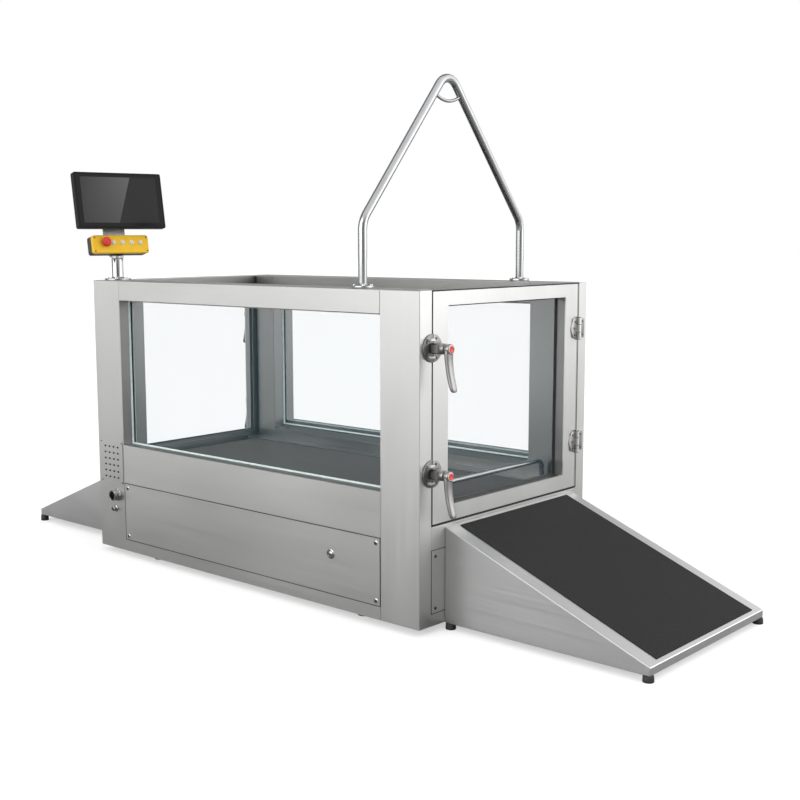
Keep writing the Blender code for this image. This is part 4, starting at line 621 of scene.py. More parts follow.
# Painted shade: a black disc just inside the union's mouth stands for the dark inside of the pipe.
depths = bmesh.new()
turn(depths, [(0.0, 0.0060), (0.0176, 0.0060), (0.0176, 0.0066), (0.0, 0.0066)], at, 32)
shade, tree, shader, where = finish("painted_hole_shade", "0B0B0C", Roughness=0.35)
film = add(tree, "ShaderNodeTexNoise", {"Scale": 120.0}, {"Vector": where})
vary(tree, shader, film.outputs["Fac"], rough=(0.2, 0.5))
piece("outlet_shadow", depths, shade, "tank")
nipple = bmesh.new()
turn(
    nipple,
    [
        (0.0060, 0), (0.0142, 0), (0.0142, 0.0035), (0.0132, 0.0045), (0.0098, 0.0050),
        (0.0098, 0.0150), (0.0106, 0.0156), (0.0106, 0.0176), (0.0094, 0.0186), (0.0066, 0.0186),
        (0.0060, 0.0178), (0.0060, 0),
    ],
    facing("-Y", (-0.811, -SIDE_Y, 0.204)), 32,
)
piece("drain_nipple_nut", nipple, polished, "tank")


# ---------------------------------------------------------------------------------------------
# Doors: welded stainless frames, brushed upright like the posts, with a pane and a hollow rubber
# gasket in each rebate. They hang on leaf hinges whose leaves carry cast cover plates, and turn on
# black acetal bushes centred on the pins.
dress(sheet_up, "door_right_frame", "door_left_frame")
gasket, tree, shader, where = finish("epdm_gasket", "2B2C2E", Roughness=0.62)
bloom = add(tree, "ShaderNodeTexNoise", {"Scale": 140.0, "Detail": 3.0}, {"Vector": where})
vary(tree, shader, bloom.outputs["Fac"], tones=("222325", "3A3B3D"), relief=(0.2, 0.0003))
dress(gasket, "door_right_seal", "door_left_seal")

cast_steel, tree, shader, where = finish("cast_hinge_plate", "9C9B99", Metallic=1.0)
sandy = add(tree, "ShaderNodeTexNoise", {"Scale": 240.0, "Detail": 4.0}, {"Vector": where})
vary(tree, shader, sandy.outputs["Fac"], rough=(0.30, 0.46))
pane_low, pane_high = from_middle("door_right_glass")
frame_low, frame_high = from_middle("door_right_frame")
HINGE_Z, PIN = (1.0214, 0.5706), (0.9340, 0.45125)
LEAF_X, PLATE_X, HALF_TALL = END_X + 0.0036, END_X + 0.0046, 0.0385
bush = [(0, -0.0010), (0.0084, -0.0010), (0.0088, 0.0), (0.0084, 0.0010), (0, 0.0010)]
for side, turned_round in (("right", False), ("left", True)):
    door = f"door_{side}"
    beads = bmesh.new()
    bead(
        beads, (pane_low.y + 0.012, pane_high.y - 0.012),
        (pane_low.z + 0.012, pane_high.z - 0.012), pane_high.x + 0.0002, 0.0035, 0.0050, "X",
    )
    # Painted shade: the black strip round the edge of the door's face stands for the dark gap round
    # the door.
    lip = bmesh.new()
    edging(
        lip, (frame_low.y - 0.0002, frame_high.y + 0.0002),
        (frame_low.z - 0.0002, TANK_TOP - 0.0002), 0.0050, END_X - 0.0012, END_X + PROUD, FACE_X,
    )
    leaf_screws, post_screws = bmesh.new(), bmesh.new()
    leaf_plates, post_plates, bushes = bmesh.new(), bmesh.new(), bmesh.new()
    for z in HINGE_Z:
        for plates, a0, a1, radius in (
            (leaf_plates, 0.4125, 0.4405, 0.012), (post_plates, 0.4612, 0.4940, 0.006)
        ):
            slab(
                plates, oblong(a0, a1, z - HALF_TALL, z + HALF_TALL, radius),
                LEAF_X, PLATE_X, FACE_X, 0.0005,
            )
        for rise in (-0.0428, -0.0152, 0.0152, 0.0428):
            turn(bushes, bush, Matrix.Translation((*PIN, z + rise)), 32)
        for screws, y, rise in (
            (leaf_screws, 0.4270, -0.026), (post_screws, 0.4800, -0.026),
            (leaf_screws, 0.4270, 0.026), (post_screws, 0.4800, 0.026), (leaf_screws, 0.4230, 0.0),
        ):
            screw(screws, facing("X", (END_X + 0.0045, y, z + rise)), 0.0046, 0.0020)
    for name, made, look, body, slot in (
        (f"{door}_glazing_rubber", beads, gasket, door, "black_rubber"),
        (f"{door}_edge_gap_shade", lip, black_parts_and_gap_shade, door, "black_rubber"),
        (f"hinge_{side}_door_plates", leaf_plates, cast_steel, door, "satin_chrome"),
        (f"hinge_{side}_post_plates", post_plates, cast_steel, "tank", "satin_chrome"),
        (f"hinge_{side}_bushes", bushes, black_parts_and_gap_shade, "tank", "black_plastic"),
        (f"hinge_{side}_door_screws", leaf_screws, oxide, door, "satin_chrome"),
        (f"hinge_{side}_post_screws", post_screws, oxide, "tank", "satin_chrome"),
    ):
        piece(name, made, look, body, half_turn=turned_round)


# ---------------------------------------------------------------------------------------------
# Clamping latches: investment-cast plates in two halves, satin plated on the door and a darker grey
# on the post, with a darker grey block beside the gap and a stepped collar that carries the lever.
satin, tree, shader, where = finish("satin_plated_casting", "8F8E8D", Metallic=1.0)
skin = add(
    tree, "ShaderNodeTexNoise", {"Scale": 260.0, "Detail": 4.0, "Roughness": 0.6},
    {"Vector": where},
)
wear = add(tree, "ShaderNodeTexNoise", {"Scale": 30.0, "Detail": 3.0}, {"Vector": where})
vary(tree, shader, wear.outputs["Fac"], tones=("828180", "9C9A99"), rough=(0.32, 0.46))
vary(tree, shader, skin.outputs["Fac"], relief=(0.10, 0.0003))
dark_casting, tree, shader, where = finish("dark_grey_casting", "7A7A7A", Metallic=1.0)
grit = add(tree, "ShaderNodeTexNoise", {"Scale": 380.0, "Detail": 3.0}, {"Vector": where})
vary(tree, shader, grit.outputs["Fac"], rough=(0.30, 0.48), relief=(0.25, 0.0003))
dress(dark_casting, "latch_right_upper", "latch_right_lower")

LATCH_Y, LATCH_Z = -0.44975, (1.004, 0.570)
LATCH_TOP = END_X + 0.005
PLATE_BACK, PLATE_FACE, PLATE_RADIUS = END_X - 0.0004, LATCH_TOP + 0.0007, 0.0487
COLLAR_X = 0.96755


def half_round(edge, z, radius, way, steps=18):
    """Half of a disc whose straight side lies on the door's gap."""
    return [
        (
            edge + way * radius * math.sin(math.pi * i / steps),
            z - radius * math.cos(math.pi * i / steps),
        )
        for i in range(steps + 1)
    ]


collar = [
    (0, 0.0), (0.0190, 0.0), (0.0196, 0.0008), (0.0196, 0.0040), (0.0188, 0.0050),
    (0.0176, 0.0054), (0.0176, 0.0112), (0.0186, 0.0118), (0.0186, 0.0158), (0.0178, 0.01685),
    (0, 0.01685),
]
for side, turned_round in (("right", False), ("left", True)):
    door = f"door_{side}"
    door_half, post_half, blocks = bmesh.new(), bmesh.new(), bmesh.new()
    door_screws, keeper_screws, collars = bmesh.new(), bmesh.new(), bmesh.new()
    for z in LATCH_Z:
        for half, edge, way in ((door_half, -0.4491, 1), (post_half, -0.4524, -1)):
            slab(
                half, half_round(edge, z, PLATE_RADIUS, way), PLATE_BACK, PLATE_FACE, FACE_X,
                0.0022, 3,
            )
        slab(
            blocks, oblong(-0.4310, -0.4120, z - 0.0175, z + 0.0175, 0.004),
            LATCH_TOP, LATCH_TOP + 0.0085, FACE_X, 0.0020, 3,
        )
        for screws, y, rise, radius in (
            (door_screws, -0.4340, -0.0325, 0.0047), (door_screws, -0.4340, 0.0325, 0.0047),
            (door_screws, -0.4080, 0.0060, 0.0044),
            (keeper_screws, -0.4860, -0.02015, 0.0045), (keeper_screws, -0.4860, 0.02015, 0.0045),
        ):
            screw(screws, facing("X", (LATCH_TOP + 0.0006, y, z + rise)), radius, 0.0020)
        turn(collars, collar, facing("X", (COLLAR_X, LATCH_Y, z)), 40)
    for name, made, look, body in (
        (f"latch_{side}_blocks", blocks, dark_casting, door),
        (f"latch_{side}_plates", door_half, satin, door),
        (f"keeper_{side}_plates", post_half, dark_casting, "tank"),
        (f"latch_{side}_screws", door_screws, oxide, door),
        (f"keeper_{side}_screws", keeper_screws, oxide, "tank"),
        (f"latch_{side}_collars", collars, satin, door),
    ):
        piece(name, made, look, body, half_turn=turned_round)


# ---------------------------------------------------------------------------------------------
# Levers: one casting each of hub and grip, plated and satin brushed. The grip leaves the hub
# narrow, widens, and flares away from the door towards a rounded end; a red button sits in a
# pale ring in the hub's face and is pressed to let the lever turn.
release_red, tree, shader, where = finish(
    "red_release_button_abs", "D23A33", Roughness=0.32, IOR=1.5
)
cast = add(tree, "ShaderNodeTexNoise", {"Scale": 160.0, "Detail": 2.0}, {"Vector": where})
vary(tree, shader, cast.outputs["Fac"], tones=("C2322D", "E04A40"))
ring_white, tree, shader, where = finish("pale_acetal_ring", "E6DFDB", Roughness=0.4)
cast = add(tree, "ShaderNodeTexNoise", {"Scale": 160.0, "Detail": 2.0}, {"Vector": where})
vary(tree, shader, cast.outputs["Fac"], tones=("DCD2CD", "EFEAE7"))
HUB_X = 0.9845
GRIP = (  # down from the hub, half width, half thickness, outward
    (0.000, 0.0172, 0.0098, 0.0000), (0.012, 0.0180, 0.0098, 0.0004),
    (0.026, 0.0180, 0.0092, 0.0008), (0.044, 0.0172, 0.0086, 0.0020),
    (0.066, 0.0164, 0.0084, 0.0048), (0.090, 0.0160, 0.0084, 0.0092),
    (0.112, 0.0158, 0.0084, 0.0148), (0.130, 0.0152, 0.0082, 0.0202),
    (0.139, 0.0138, 0.0072, 0.0232), (0.1438, 0.0092, 0.0048, 0.0248),
    (0.1450, 0.0034, 0.0020, 0.0252),
)
GRIP_ENDS = (GRIP[0][0], GRIP[-1][0])
SQUARENESS = 3.0  # 2 would make the grip's section an ellipse
hub = [
    (0, 0.0006), (0.0168, 0.0006), (0.0180, 0.0020), (0.0180, 0.0212), (0.0172, 0.0232),
    (0.0160, 0.0245), (0.0147, 0.0247), (0.0142, 0.0240), (0.0142, 0.0170), (0, 0.0170),
]
pale_ring = [
    (0.0121, 0.0195), (0.0141, 0.0195), (0.0141, 0.0246), (0.0131, 0.0252), (0.0121, 0.0250),
    (0.0121, 0.0195),
]
red_cap = [
    (0, 0.0202), (0.0117, 0.0202), (0.0117, 0.0262), (0.0111, 0.0270), (0.0088, 0.0273),
    (0.0080, 0.0268), (0, 0.0266),
]
for side, turned_round in (("right", False), ("left", True)):
    for level, z in (("upper", LATCH_Z[0]), ("lower", LATCH_Z[1])):
        body = f"lever_{side}_{level}"
        at = facing("X", (HUB_X, LATCH_Y, z))
        lever, ring, button = bmesh.new(), bmesh.new(), bmesh.new()
        turn(lever, hub, at, 40)
        edges = []
        for drop, wide, thick, out in GRIP:
            made = bmesh.ops.create_circle(
                lever, segments=20, radius=1.0, cap_ends=drop in GRIP_ENDS
            )
            for corner in made["verts"]:
                a, b = corner.co.x, corner.co.y
                fuller = (abs(a) ** SQUARENESS + abs(b) ** SQUARENESS) ** (-1 / SQUARENESS)
                corner.co = (
                    HUB_X + 0.0123 + out + thick * b * fuller,
                    LATCH_Y + wide * a * fuller,
                    z - drop,
                )
            rim = {e for v in made["verts"] for e in v.link_edges}
            edges.append([e for e in rim if len(set(e.verts) & set(made["verts"])) == 2])
        for first, second in zip(edges, edges[1:]):
            bmesh.ops.bridge_loops(lever, edges=first + second)
        made = piece(
            f"{body}_casting", lever, satin, body, smooth=50.0,
            half_turn=turned_round,
        )
        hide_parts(body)
        turn(ring, pale_ring, at, 36)
        piece(f"{body}_ring", ring, ring_white, body, half_turn=turned_round)
        turn(button, red_cap, at, 36)
        released = f"lever_button_{side}_{level}"
        made = piece(
            f"{released}_cap", button, release_red, released,
            half_turn=turned_round,
        )
        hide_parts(released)


# ---------------------------------------------------------------------------------------------
# Inside the tank: a tub of smooth-rolled stainless, the treadmill's side rails, a deck of
# resin-bonded board, and the walking belt: woven polyester under dark PVC, with a fine pebbled face
# that is scuffed along its run.
# The tub lies inside the tank's outline, so brushed_steel paints it the flat darker grey of painted
# shade.
tub_steel = brushed_steel("tub_stainless", "X", "7C7C7B", 0.30, 0.37, smear=0.05)
dress(tub_steel, "tub", "treadmill_frame")
belt_face, tree, shader, where = finish(
    "walking_belt_pvc", "4E4B47", Roughness=0.55, IOR=1.5, Specular_IOR_Level=0.35
)
pebble = add(tree, "ShaderNodeTexVoronoi", {"Scale": 330.0}, {"Vector": where})
scuffs = add(tree, "ShaderNodeMapping", {"Scale": (0.8, 6.0, 6.0)}, {"Vector": where})
worn = add(
    tree, "ShaderNodeTexNoise", {"Scale": 2.4, "Detail": 5.0, "Roughness": 0.6},
    {"Vector": scuffs.outputs["Vector"]},
)
vary(tree, shader, worn.outputs["Fac"], tones=("43403D", "5A5652"), rough=(0.42, 0.66))
vary(tree, shader, pebble.outputs["Distance"], relief=(0.35, 0.0006))
dress(belt_face, "belt")
board, tree, shader, where = finish("phenolic_deck_board", "4A3A2E", Roughness=0.5)
layers = add(tree, "ShaderNodeMapping", {"Scale": (0.2, 1.0, 6.0)}, {"Vector": where})
plies = add(
    tree, "ShaderNodeTexNoise", {"Scale": 40.0, "Detail": 4.0},
    {"Vector": layers.outputs["Vector"]},
)
vary(tree, shader, plies.outputs["Fac"], tones=("3A2C22", "5C4A3B"))
dress(board, "deck")


# ---------------------------------------------------------------------------------------------
# Guard bar: one length of 20 mm polished tube bent over the end of the belt, with a welded round
# foot at each side rail, so that a paw can't run off the belt's end against the door.
def filleted(points, bends, steps=10):
    """A path through points whose inner corners are rounded to the radii of a tube bender."""
    path = [Vector(points[0])]
    for i, radius in enumerate(bends, start=1):
        corner, before, after = Vector(points[i]), Vector(points[i - 1]), Vector(points[i + 1])
        into, out = (corner - before).normalized(), (after - corner).normalized()
        turn_by = into.angle(out)
        reach = radius * math.tan(turn_by / 2)
        start = corner - into * reach
        inward = (out - into * into.dot(out)).normalized()
        centre = start + inward * radius
        axis = into.cross(out).normalized()
        for k in range(steps + 1):
            path.append(centre + Matrix.Rotation(turn_by * k / steps, 3, axis) @ (start - centre))
    path.append(Vector(points[-1]))
    return path


def pipe(made, path, radius, steps=28):
    """A round tube along a path, closed at its ends: rings bridged one to the next."""
    loops = []
    normal = None
    for i, here in enumerate(path):
        ahead = (path[min(i + 1, len(path) - 1)] - path[max(i - 1, 0)]).normalized()
        if normal is None:
            normal = ahead.orthogonal().normalized()
        normal = (normal - ahead * normal.dot(ahead)).normalized()
        side = ahead.cross(normal)
        stand = Matrix((normal, side, ahead)).transposed().to_4x4()
        stand.translation = here
        ring = bmesh.ops.create_circle(
            made, segments=steps, radius=radius, cap_ends=i in (0, len(path) - 1), matrix=stand
        )["verts"]
        rim = {e for v in ring for e in v.link_edges}
        loops.append([e for e in rim if len(set(e.verts) & set(ring)) == 2])
    for first, second in zip(loops, loops[1:]):
        bmesh.ops.bridge_loops(made, edges=first + second)


GUARD_X, GUARD_Y, GUARD_TOP = 0.833, 0.355, 0.498
guard = bmesh.new()
foot = 0.4205
pipe(
    guard,
    filleted(
        [
            (GUARD_X, -GUARD_Y, foot), (GUARD_X, -GUARD_Y, GUARD_TOP),
            (GUARD_X, GUARD_Y, GUARD_TOP), (GUARD_X, GUARD_Y, foot),
        ],
        (0.035, 0.035),
    ),
    0.0101,
)
welded_foot = [
    (0, 0), (0.0158, 0), (0.0160, 0.0005), (0.0160, 0.0034), (0.0150, 0.0042), (0.0118, 0.0046),
    (0.0102, 0.0070), (0, 0.0070),
]
for y in (-GUARD_Y, GUARD_Y):
    turn(guard, welded_foot, facing("Z", (GUARD_X, y, foot)), 32)
made = piece("guard_bar_tube", guard, polished, "tank", smooth=50.0)
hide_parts("guard_bar")


# ---------------------------------------------------------------------------------------------
# Lifting arch: 32 mm polished tube bent to a pointed arch, welded to a round flange on each top
# beam with four screws, and a thin sagging bar welded across under the point for the harness.
def four_screws(made, middle, circle, radius, rise, washer):
    """Four screws on washers, on a circle round the middle of a flange."""
    x, y, z = middle
    for quarter in range(4):
        angle = math.pi / 4 + quarter * math.pi / 2
        place = (x + circle * math.cos(angle), y + circle * math.sin(angle), z)
        screw(made, facing("Z", place), radius, rise, washer)


arch, arch_screws = bmesh.new(), bmesh.new()
ARCH_X = 0.629
foot, reach = 1.2006, 0.474
peak, knee = 2.000, 1.435
path = filleted(
    [
        (ARCH_X, -reach, foot), (ARCH_X, -reach, knee), (ARCH_X, 0, peak),
        (ARCH_X, reach, knee), (ARCH_X, reach, foot),
    ],
    (0.090, 0.065, 0.090), 14,
)
pipe(arch, path, 0.0161, 36)
HARNESS_Z, SAG = 1.906, 0.025
spread = (peak - HARNESS_Z) * reach / (peak - knee)
sagging = [
    Vector((ARCH_X, spread * t / 8, HARNESS_Z - SAG * (1 - (t / 8) ** 2))) for t in range(-8, 9)
]
pipe(arch, sagging, 0.0061, 16)
flange = [
    (0, 0), (0.0396, 0), (0.0402, 0.0006), (0.0402, 0.0088), (0.0392, 0.0100), (0.0222, 0.0102),
    (0.0196, 0.0116), (0.0174, 0.0150), (0.0160, 0.0170), (0, 0.0170),
]
for y in (-reach, reach):
    turn(arch, flange, facing("Z", (ARCH_X, y, foot)), 48)
    four_screws(arch_screws, (ARCH_X, y, foot + 0.0100), 0.0300, 0.0052, 0.0032, 0.0068)
made = piece("lifting_arch", arch, polished, "tank", smooth=50.0)
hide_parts("gantry")
piece("arch_flange_screws", arch_screws, bright_steel, "tank")


# ---------------------------------------------------------------------------------------------
# Control stand: a short polished tube on a round flange with four screws. Its top is a plain
# bearing for the bracket's spigot, so that the whole head swivels.
STAND_X, STAND_Y = -0.835, -0.450
stand, stand_screws = bmesh.new(), bmesh.new()
turn(
    stand,
    [
        (0, 0), (0.0546, 0), (0.0552, 0.0006), (0.0552, 0.0068), (0.0542, 0.0082),
        (0.0320, 0.0084), (0.0280, 0.0100), (0.0254, 0.0135), (0.0247, 0.0160), (0.0247, 0.0902),
        (0.0243, 0.0910), (0.0247, 0.0918), (0.0247, 0.0946), (0.0238, 0.0952), (0.0156, 0.0952),
        (0.0156, 0.0450), (0, 0.0450),
    ],
    facing("Z", (STAND_X, STAND_Y, 1.2003)), 56,
)
made = piece("stand_tube", stand, polished, "tank", smooth=50.0)
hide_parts("monitor_post")
four_screws(stand_screws, (STAND_X, STAND_Y, 1.2084), 0.0425, 0.0058, 0.0034, 0.0076)
piece("stand_flange_screws", stand_screws, bright_steel, "tank")


# ---------------------------------------------------------------------------------------------
# Button box: a moulded ABS box with a dark base and a yellow lid held by a screw in each corner.
# The lid carries a red mushroom emergency stop on a black collar, and four pale push buttons in
# plated bezels. Moulded ABS shows a fine spark-eroded grain that softens its shine.
turned_by, tilted_by = math.radians(-12.0), math.radians(11.0)
across = Vector((-math.sin(turned_by), math.cos(turned_by), 0.0))
outward = Vector(
    (
        math.cos(turned_by) * math.cos(tilted_by), math.sin(turned_by) * math.cos(tilted_by),
        math.sin(tilted_by),
    )
)
upward = outward.cross(across)
HEAD = Matrix((across, upward, outward)).transposed().to_4x4()
HEAD.translation = (STAND_X, STAND_Y, 1.310)


def on_head(a, b, c):
    """A place on the control head: across it, up it, and out of its face."""
    return HEAD @ Matrix.Translation((a, b, c))


def moulded(name, colour, darker, lighter, rough, shine=0.25):
    """Moulded ABS: a little mottled, with the eroded grain of its tool."""
    look, tree, shader, where = finish(
        name, colour, Roughness=rough, IOR=1.52, Specular_IOR_Level=shine
    )
    mottle = add(tree, "ShaderNodeTexNoise", {"Scale": 36.0, "Detail": 4.0}, {"Vector": where})
    grain = add(tree, "ShaderNodeTexNoise", {"Scale": 900.0, "Detail": 2.0}, {"Vector": where})
    vary(tree, shader, mottle.outputs["Fac"], tones=(darker, lighter))
    vary(tree, shader, grain.outputs["Fac"], relief=(0.18, 0.0002))
    return look


yellow_abs = moulded("yellow_abs_lid", "E4B62C", "DDAE26", "EBBF36", 0.34, shine=0.12)
dark_abs = moulded("dark_abs_base", "33352F", "2B2C28", "3D3E39", 0.45)
red_abs = moulded("red_abs_mushroom", "C4302B", "B92823", "D03C35", 0.30)
pale_abs = moulded("pale_abs_button", "CFCBB9", "C3BFAC", "DAD6C6", 0.38)
dress(yellow_abs, "control_lid")
dress(dark_abs, "control_box")

FACE = 0.0532  # the lid's face, out from the stand's axis
STOP = on_head(-0.070, 0.044, FACE)
lid_screws = bmesh.new()
for a in (-0.1185, 0.1185):
    for b in (0.0065, 0.0647):
        screw(lid_screws, on_head(a, b, FACE - 0.0002), 0.0036, 0.0012)
piece("box_lid_screws", lid_screws, oxide, "control_head")
lip = bmesh.new()
slab(lip, oblong(-0.1268, 0.1268, -0.0022, 0.0734, 0.0095), 0.0290, 0.0325, HEAD, 0.0008, 2)
piece("box_gasket", lip, gasket, "control_head")
stop_collar = bmesh.new()
turn(
    stop_collar,
    [
        (0.0121, 0), (0.0168, 0), (0.0166, 0.0016), (0.0156, 0.0022), (0.0126, 0.0022),
        (0.0121, 0.0018), (0.0121, 0),
    ],
    STOP, 40,
)
piece("stop_collar", stop_collar, dark_abs, "control_head")
mushroom = bmesh.new()
turn(
    mushroom,
    [
        (0, -0.0080), (0.0112, -0.0080), (0.0112, 0.0066), (0.0176, 0.0070), (0.0194, 0.0082),
        (0.0201, 0.0104), (0.0201, 0.0150), (0.0196, 0.0172), (0.0184, 0.0190), (0.0168, 0.0202),
        (0.0148, 0.0210), (0.0138, 0.0206), (0.0130, 0.0206), (0.0120, 0.0214), (0.0088, 0.0219),
        (0.0080, 0.0214), (0.0072, 0.0214), (0.0062, 0.0221), (0, 0.0224),
    ],
    STOP, 56,
)
made = piece("stop_mushroom", mushroom, red_abs, "emergency_stop", smooth=45.0)
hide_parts("emergency_stop")
bezels = bmesh.new()
bezel = [
    (0.0080, 0), (0.0103, 0), (0.0101, 0.0012), (0.0094, 0.0017), (0.0084, 0.0016),
    (0.0080, 0.0010), (0.0080, 0),
]
push_cap = [
    (0, -0.0060), (0.0073, -0.0060), (0.0073, 0.0036), (0.0069, 0.0044), (0.0058, 0.0048),
    (0.0044, 0.0044), (0, 0.0041),
]
for i in range(4):
    at = on_head(-0.033 + 0.0407 * i, 0.042, FACE)
    turn(bezels, bezel, at, 32)
    cap = bmesh.new()
    turn(cap, push_cap, at, 32)
    button = f"button_{i + 1}"
    made = piece(f"{button}_cap", cap, pale_abs, button, smooth=45.0)
    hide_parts(button)
piece("button_bezels", bezels, bright_steel, "control_head")


# ---------------------------------------------------------------------------------------------
# Monitor: a black moulded case round a sheet of bonded cover glass. The panel under the glass is
# off: its live area is a shade lighter than the printed black border, and a painted reflection
# lightens it on one side of a slant, most near the slant and towards the top. On the back are a
# screwed mounting plate and two rows of vent slots, drawn as dark pads: painted shade.
case_abs = moulded("black_abs_case", "0E0F10", "0A0B0C", "131415", 0.38, shine=0.12)
dress(case_abs, "monitor_housing")
cover_glass, tree, shader, where = finish(
    "bonded_cover_glass", "151516", Roughness=0.10, IOR=1.5, Specular_IOR_Level=0.18
)
local = add(
    tree, "ShaderNodeMapping",
    {"Location": tuple(HEAD.translation + TANK), "Rotation": HEAD.to_euler()},
    {"Vector": where}, vector_type="TEXTURE",
)
LIVE_X, LIVE_Y, LIVE_MIDDLE, SOFT = 0.1725, 0.0985, 0.2175, 0.0015  # half sizes, height, edge
sides = add(tree, "ShaderNodeSeparateXYZ", None, {"Vector": local.outputs["Vector"]})
aside = sides.outputs["X"]
from_mid = add(tree, "ShaderNodeMath", None, {0: aside}, operation="ABSOLUTE")
inside_a = add(
    tree, "ShaderNodeMapRange", {"From Min": LIVE_X, "From Max": LIVE_X - SOFT},
    {"Value": from_mid.outputs[0]},
)
lifted = add(
    tree, "ShaderNodeMath", {1: LIVE_MIDDLE}, {0: sides.outputs["Y"]}, operation="SUBTRACT"
).outputs[0]
from_centre = add(tree, "ShaderNodeMath", None, {0: lifted}, operation="ABSOLUTE")
inside_b = add(
    tree, "ShaderNodeMapRange", {"From Min": LIVE_Y, "From Max": LIVE_Y - SOFT},
    {"Value": from_centre.outputs[0]},
)
live = add(
    tree, "ShaderNodeMath", None,
    {0: inside_a.outputs["Result"], 1: inside_b.outputs["Result"]}, operation="MULTIPLY",
)
# Painted reflection: on one side of a slant across the live area the panel is lighter, most near
# the slant and towards the top.
slant = add(
    tree, "ShaderNodeMath", {1: 0.345, 2: 0.020}, {0: lifted}, operation="MULTIPLY_ADD"
)
beyond = add(
    tree, "ShaderNodeMath", None, {0: aside, 1: slant.outputs[0]}, operation="SUBTRACT"
).outputs[0]
painted_lit_side = add(
    tree, "ShaderNodeMapRange", {"From Min": 0.0004, "From Max": -0.0004}, {"Value": beyond}
)
fading = add(
    tree, "ShaderNodeMapRange",
    {"From Min": -0.22, "From Max": 0.0, "To Min": 0.25, "To Max": 1.0}, {"Value": beyond},
)
rising = add(
    tree, "ShaderNodeMapRange",
    {"From Min": -0.12, "From Max": 0.12, "To Min": 0.45, "To Max": 1.0}, {"Value": lifted},
)
painted_sheen = add(
    tree, "ShaderNodeMath", None, {0: fading.outputs["Result"], 1: rising.outputs["Result"]},
    operation="MULTIPLY",
)
painted_reflection = add(
    tree, "ShaderNodeMath", None, {0: painted_sheen.outputs[0], 1: painted_lit_side.outputs["Result"]},
    operation="MULTIPLY",
)
panel = add(
    tree, "ShaderNodeMix", {6: linear("1E1E1E"), 7: linear("5A5A5B")}, {0: painted_reflection.outputs[0]},
    data_type="RGBA",
)
printed = add(
    tree, "ShaderNodeMix", {6: linear("070708")}, {0: live.outputs[0], 7: panel.outputs[2]},
    data_type="RGBA",
)
tree.links.new(printed.outputs[2], shader.inputs["Base Color"])
dress(cover_glass, "monitor_screen")

back = bmesh.new()
slab(back, oblong(-0.060, 0.060, 0.156, 0.276, 0.008), 0.0600, 0.0632, HEAD, 0.0010, 2)
slab(back, oblong(-0.150, 0.150, 0.1235, 0.1290, 0.002), 0.0618, 0.0632, HEAD)
piece("monitor_mounting_plate", back, case_abs, "monitor")
# Painted shade: the vent slots are dark raised pads, standing for the shade inside them.
slots = bmesh.new()
for row in (0.2960, 0.1420):
    for i in range(-9, 10):
        a = i * 0.0120
        slab(
            slots, oblong(a - 0.0038, a + 0.0038, row - 0.0016, row + 0.0016, 0.0015, 3),
            0.0624, 0.0634, HEAD,
        )
piece("monitor_vent_slots", slots, shade, "monitor")
plate_screws = bmesh.new()
for a in (-0.050, 0.050):
    for b in (0.166, 0.266):
        at = on_head(a, b, 0.0600) @ Matrix.Rotation(math.pi, 4, "X")
        screw(plate_screws, at, 0.0042, 0.0020)
piece("monitor_plate_screws", plate_screws, oxide, "monitor")


# ---------------------------------------------------------------------------------------------
# Ramps: folded stainless with hemmed edges, brushed down the slope, on black rubber feet. Each
# carries a bonded rubber mat with a fine raised-dot grip, drawn 9 mm between dots to show.
ramp_steel = brushed_steel("ramp_stainless", "X", "CECECE", 0.30, 0.44)
dress(ramp_steel, "ramp_right", "ramp_left")
mat_rubber, tree, shader, where = finish(
    "dotted_grip_rubber", "1E1E1F", Roughness=0.78, IOR=1.5, Specular_IOR_Level=0.25
)
DOTS_A_METRE = 112.0
rows = add(
    tree, "ShaderNodeMapping",
    {"Scale": (DOTS_A_METRE, DOTS_A_METRE, 0.0), "Rotation": (0.0, 0.0, math.radians(45.0))},
    {"Vector": where},
)
dots = add(
    tree, "ShaderNodeTexVoronoi", {"Scale": 1.0, "Randomness": 0.0},
    {"Vector": rows.outputs["Vector"]}, feature="F1",
)
domes = add(
    tree, "ShaderNodeMapRange", {"From Min": 0.42, "From Max": 0.16},
    {"Value": dots.outputs["Distance"]},
).outputs["Result"]
scuff = add(
    tree, "ShaderNodeTexNoise", {"Scale": 7.0, "Detail": 5.0, "Roughness": 0.6},
    {"Vector": where},
)
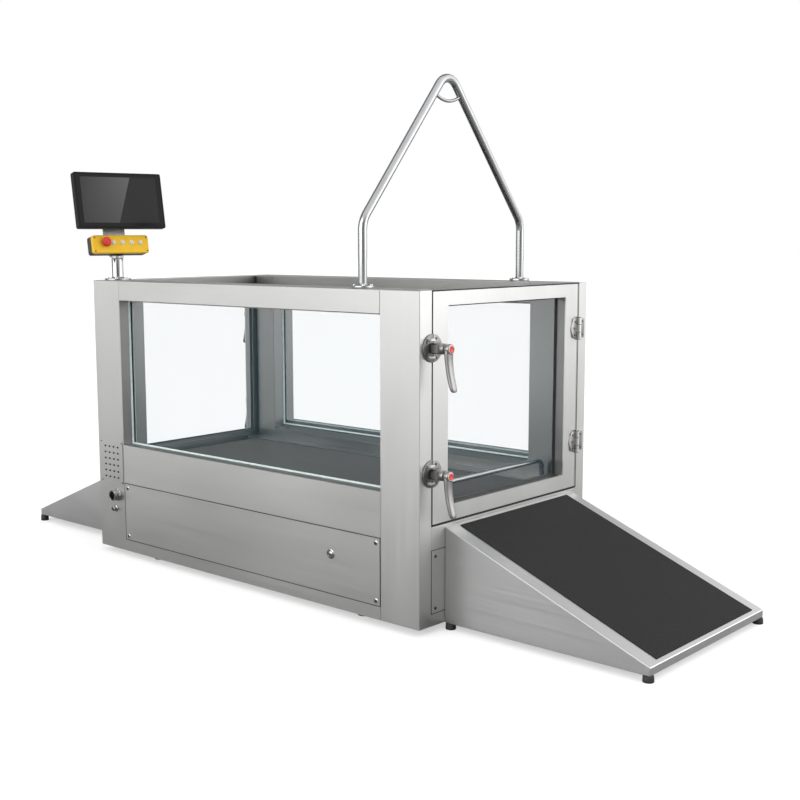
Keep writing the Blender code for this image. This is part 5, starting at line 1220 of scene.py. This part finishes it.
ground_tone = add(
    tree, "ShaderNodeMix", {6: linear("131313"), 7: linear("1B1B1C")},
    {0: scuff.outputs["Fac"]}, data_type="RGBA",
)
dotted = add(
    tree, "ShaderNodeMix", {7: linear("2A2A2C")}, {0: domes, 6: ground_tone.outputs[2]},
    data_type="RGBA",
)
tree.links.new(dotted.outputs[2], shader.inputs["Base Color"])
vary(tree, shader, domes, relief=(0.6, 0.0010))
dress(mat_rubber, "ramp_right_mat", "ramp_left_mat")
RAMP_X = 0.9256  # where both ramps start, beside the tank's ends
for side, way, reach, under in (("right", 1.0, 0.8146, 0.0220), ("left", -1.0, 0.7046, 0.0290)):
    pads = bmesh.new()
    pad = [
        (0, 0.0), (0.0181, 0.0), (0.0188, 0.0010), (0.0184, under * 0.6),
        (0.0176, under - 0.0022), (0.0160, under - 0.0006), (0, under - 0.0006),
    ]
    for x in (RAMP_X + 0.0175, RAMP_X + reach - 0.0125):
        for y in (-0.3625, 0.4175):
            turn(pads, pad, Matrix.Translation((way * x, y, 0.0)), 36)
    piece(f"ramp_{side}_feet", pads, foot_rubber, f"ramp_{side}")


# ---------------------------------------------------------------------------------------------
# Drive: a finned, painted motor on its bed in the hollow back left post, with a toothed rubber
# belt up to the drive roller's pulley.
motor_paint, tree, shader, where = finish("motor_enamel", "5E646A", Roughness=0.42)
orange_peel = add(tree, "ShaderNodeTexNoise", {"Scale": 320.0, "Detail": 2.0}, {"Vector": where})
settled = add(tree, "ShaderNodeTexNoise", {"Scale": 18.0, "Detail": 4.0}, {"Vector": where})
vary(tree, shader, settled.outputs["Fac"], tones=("545A60", "6A7076"))
vary(tree, shader, orange_peel.outputs["Fac"], relief=(0.2, 0.0003))
dress(motor_paint, "drive_motor")
toothed, tree, shader, where = finish("toothed_belt_rubber", "242425", Roughness=0.6)
teeth = add(tree, "ShaderNodeTexWave", {"Scale": 95.0}, {"Vector": where}, bands_direction="Z")
vary(tree, shader, teeth.outputs["Fac"], relief=(0.6, 0.0012))
dress(toothed, "drive_belt")
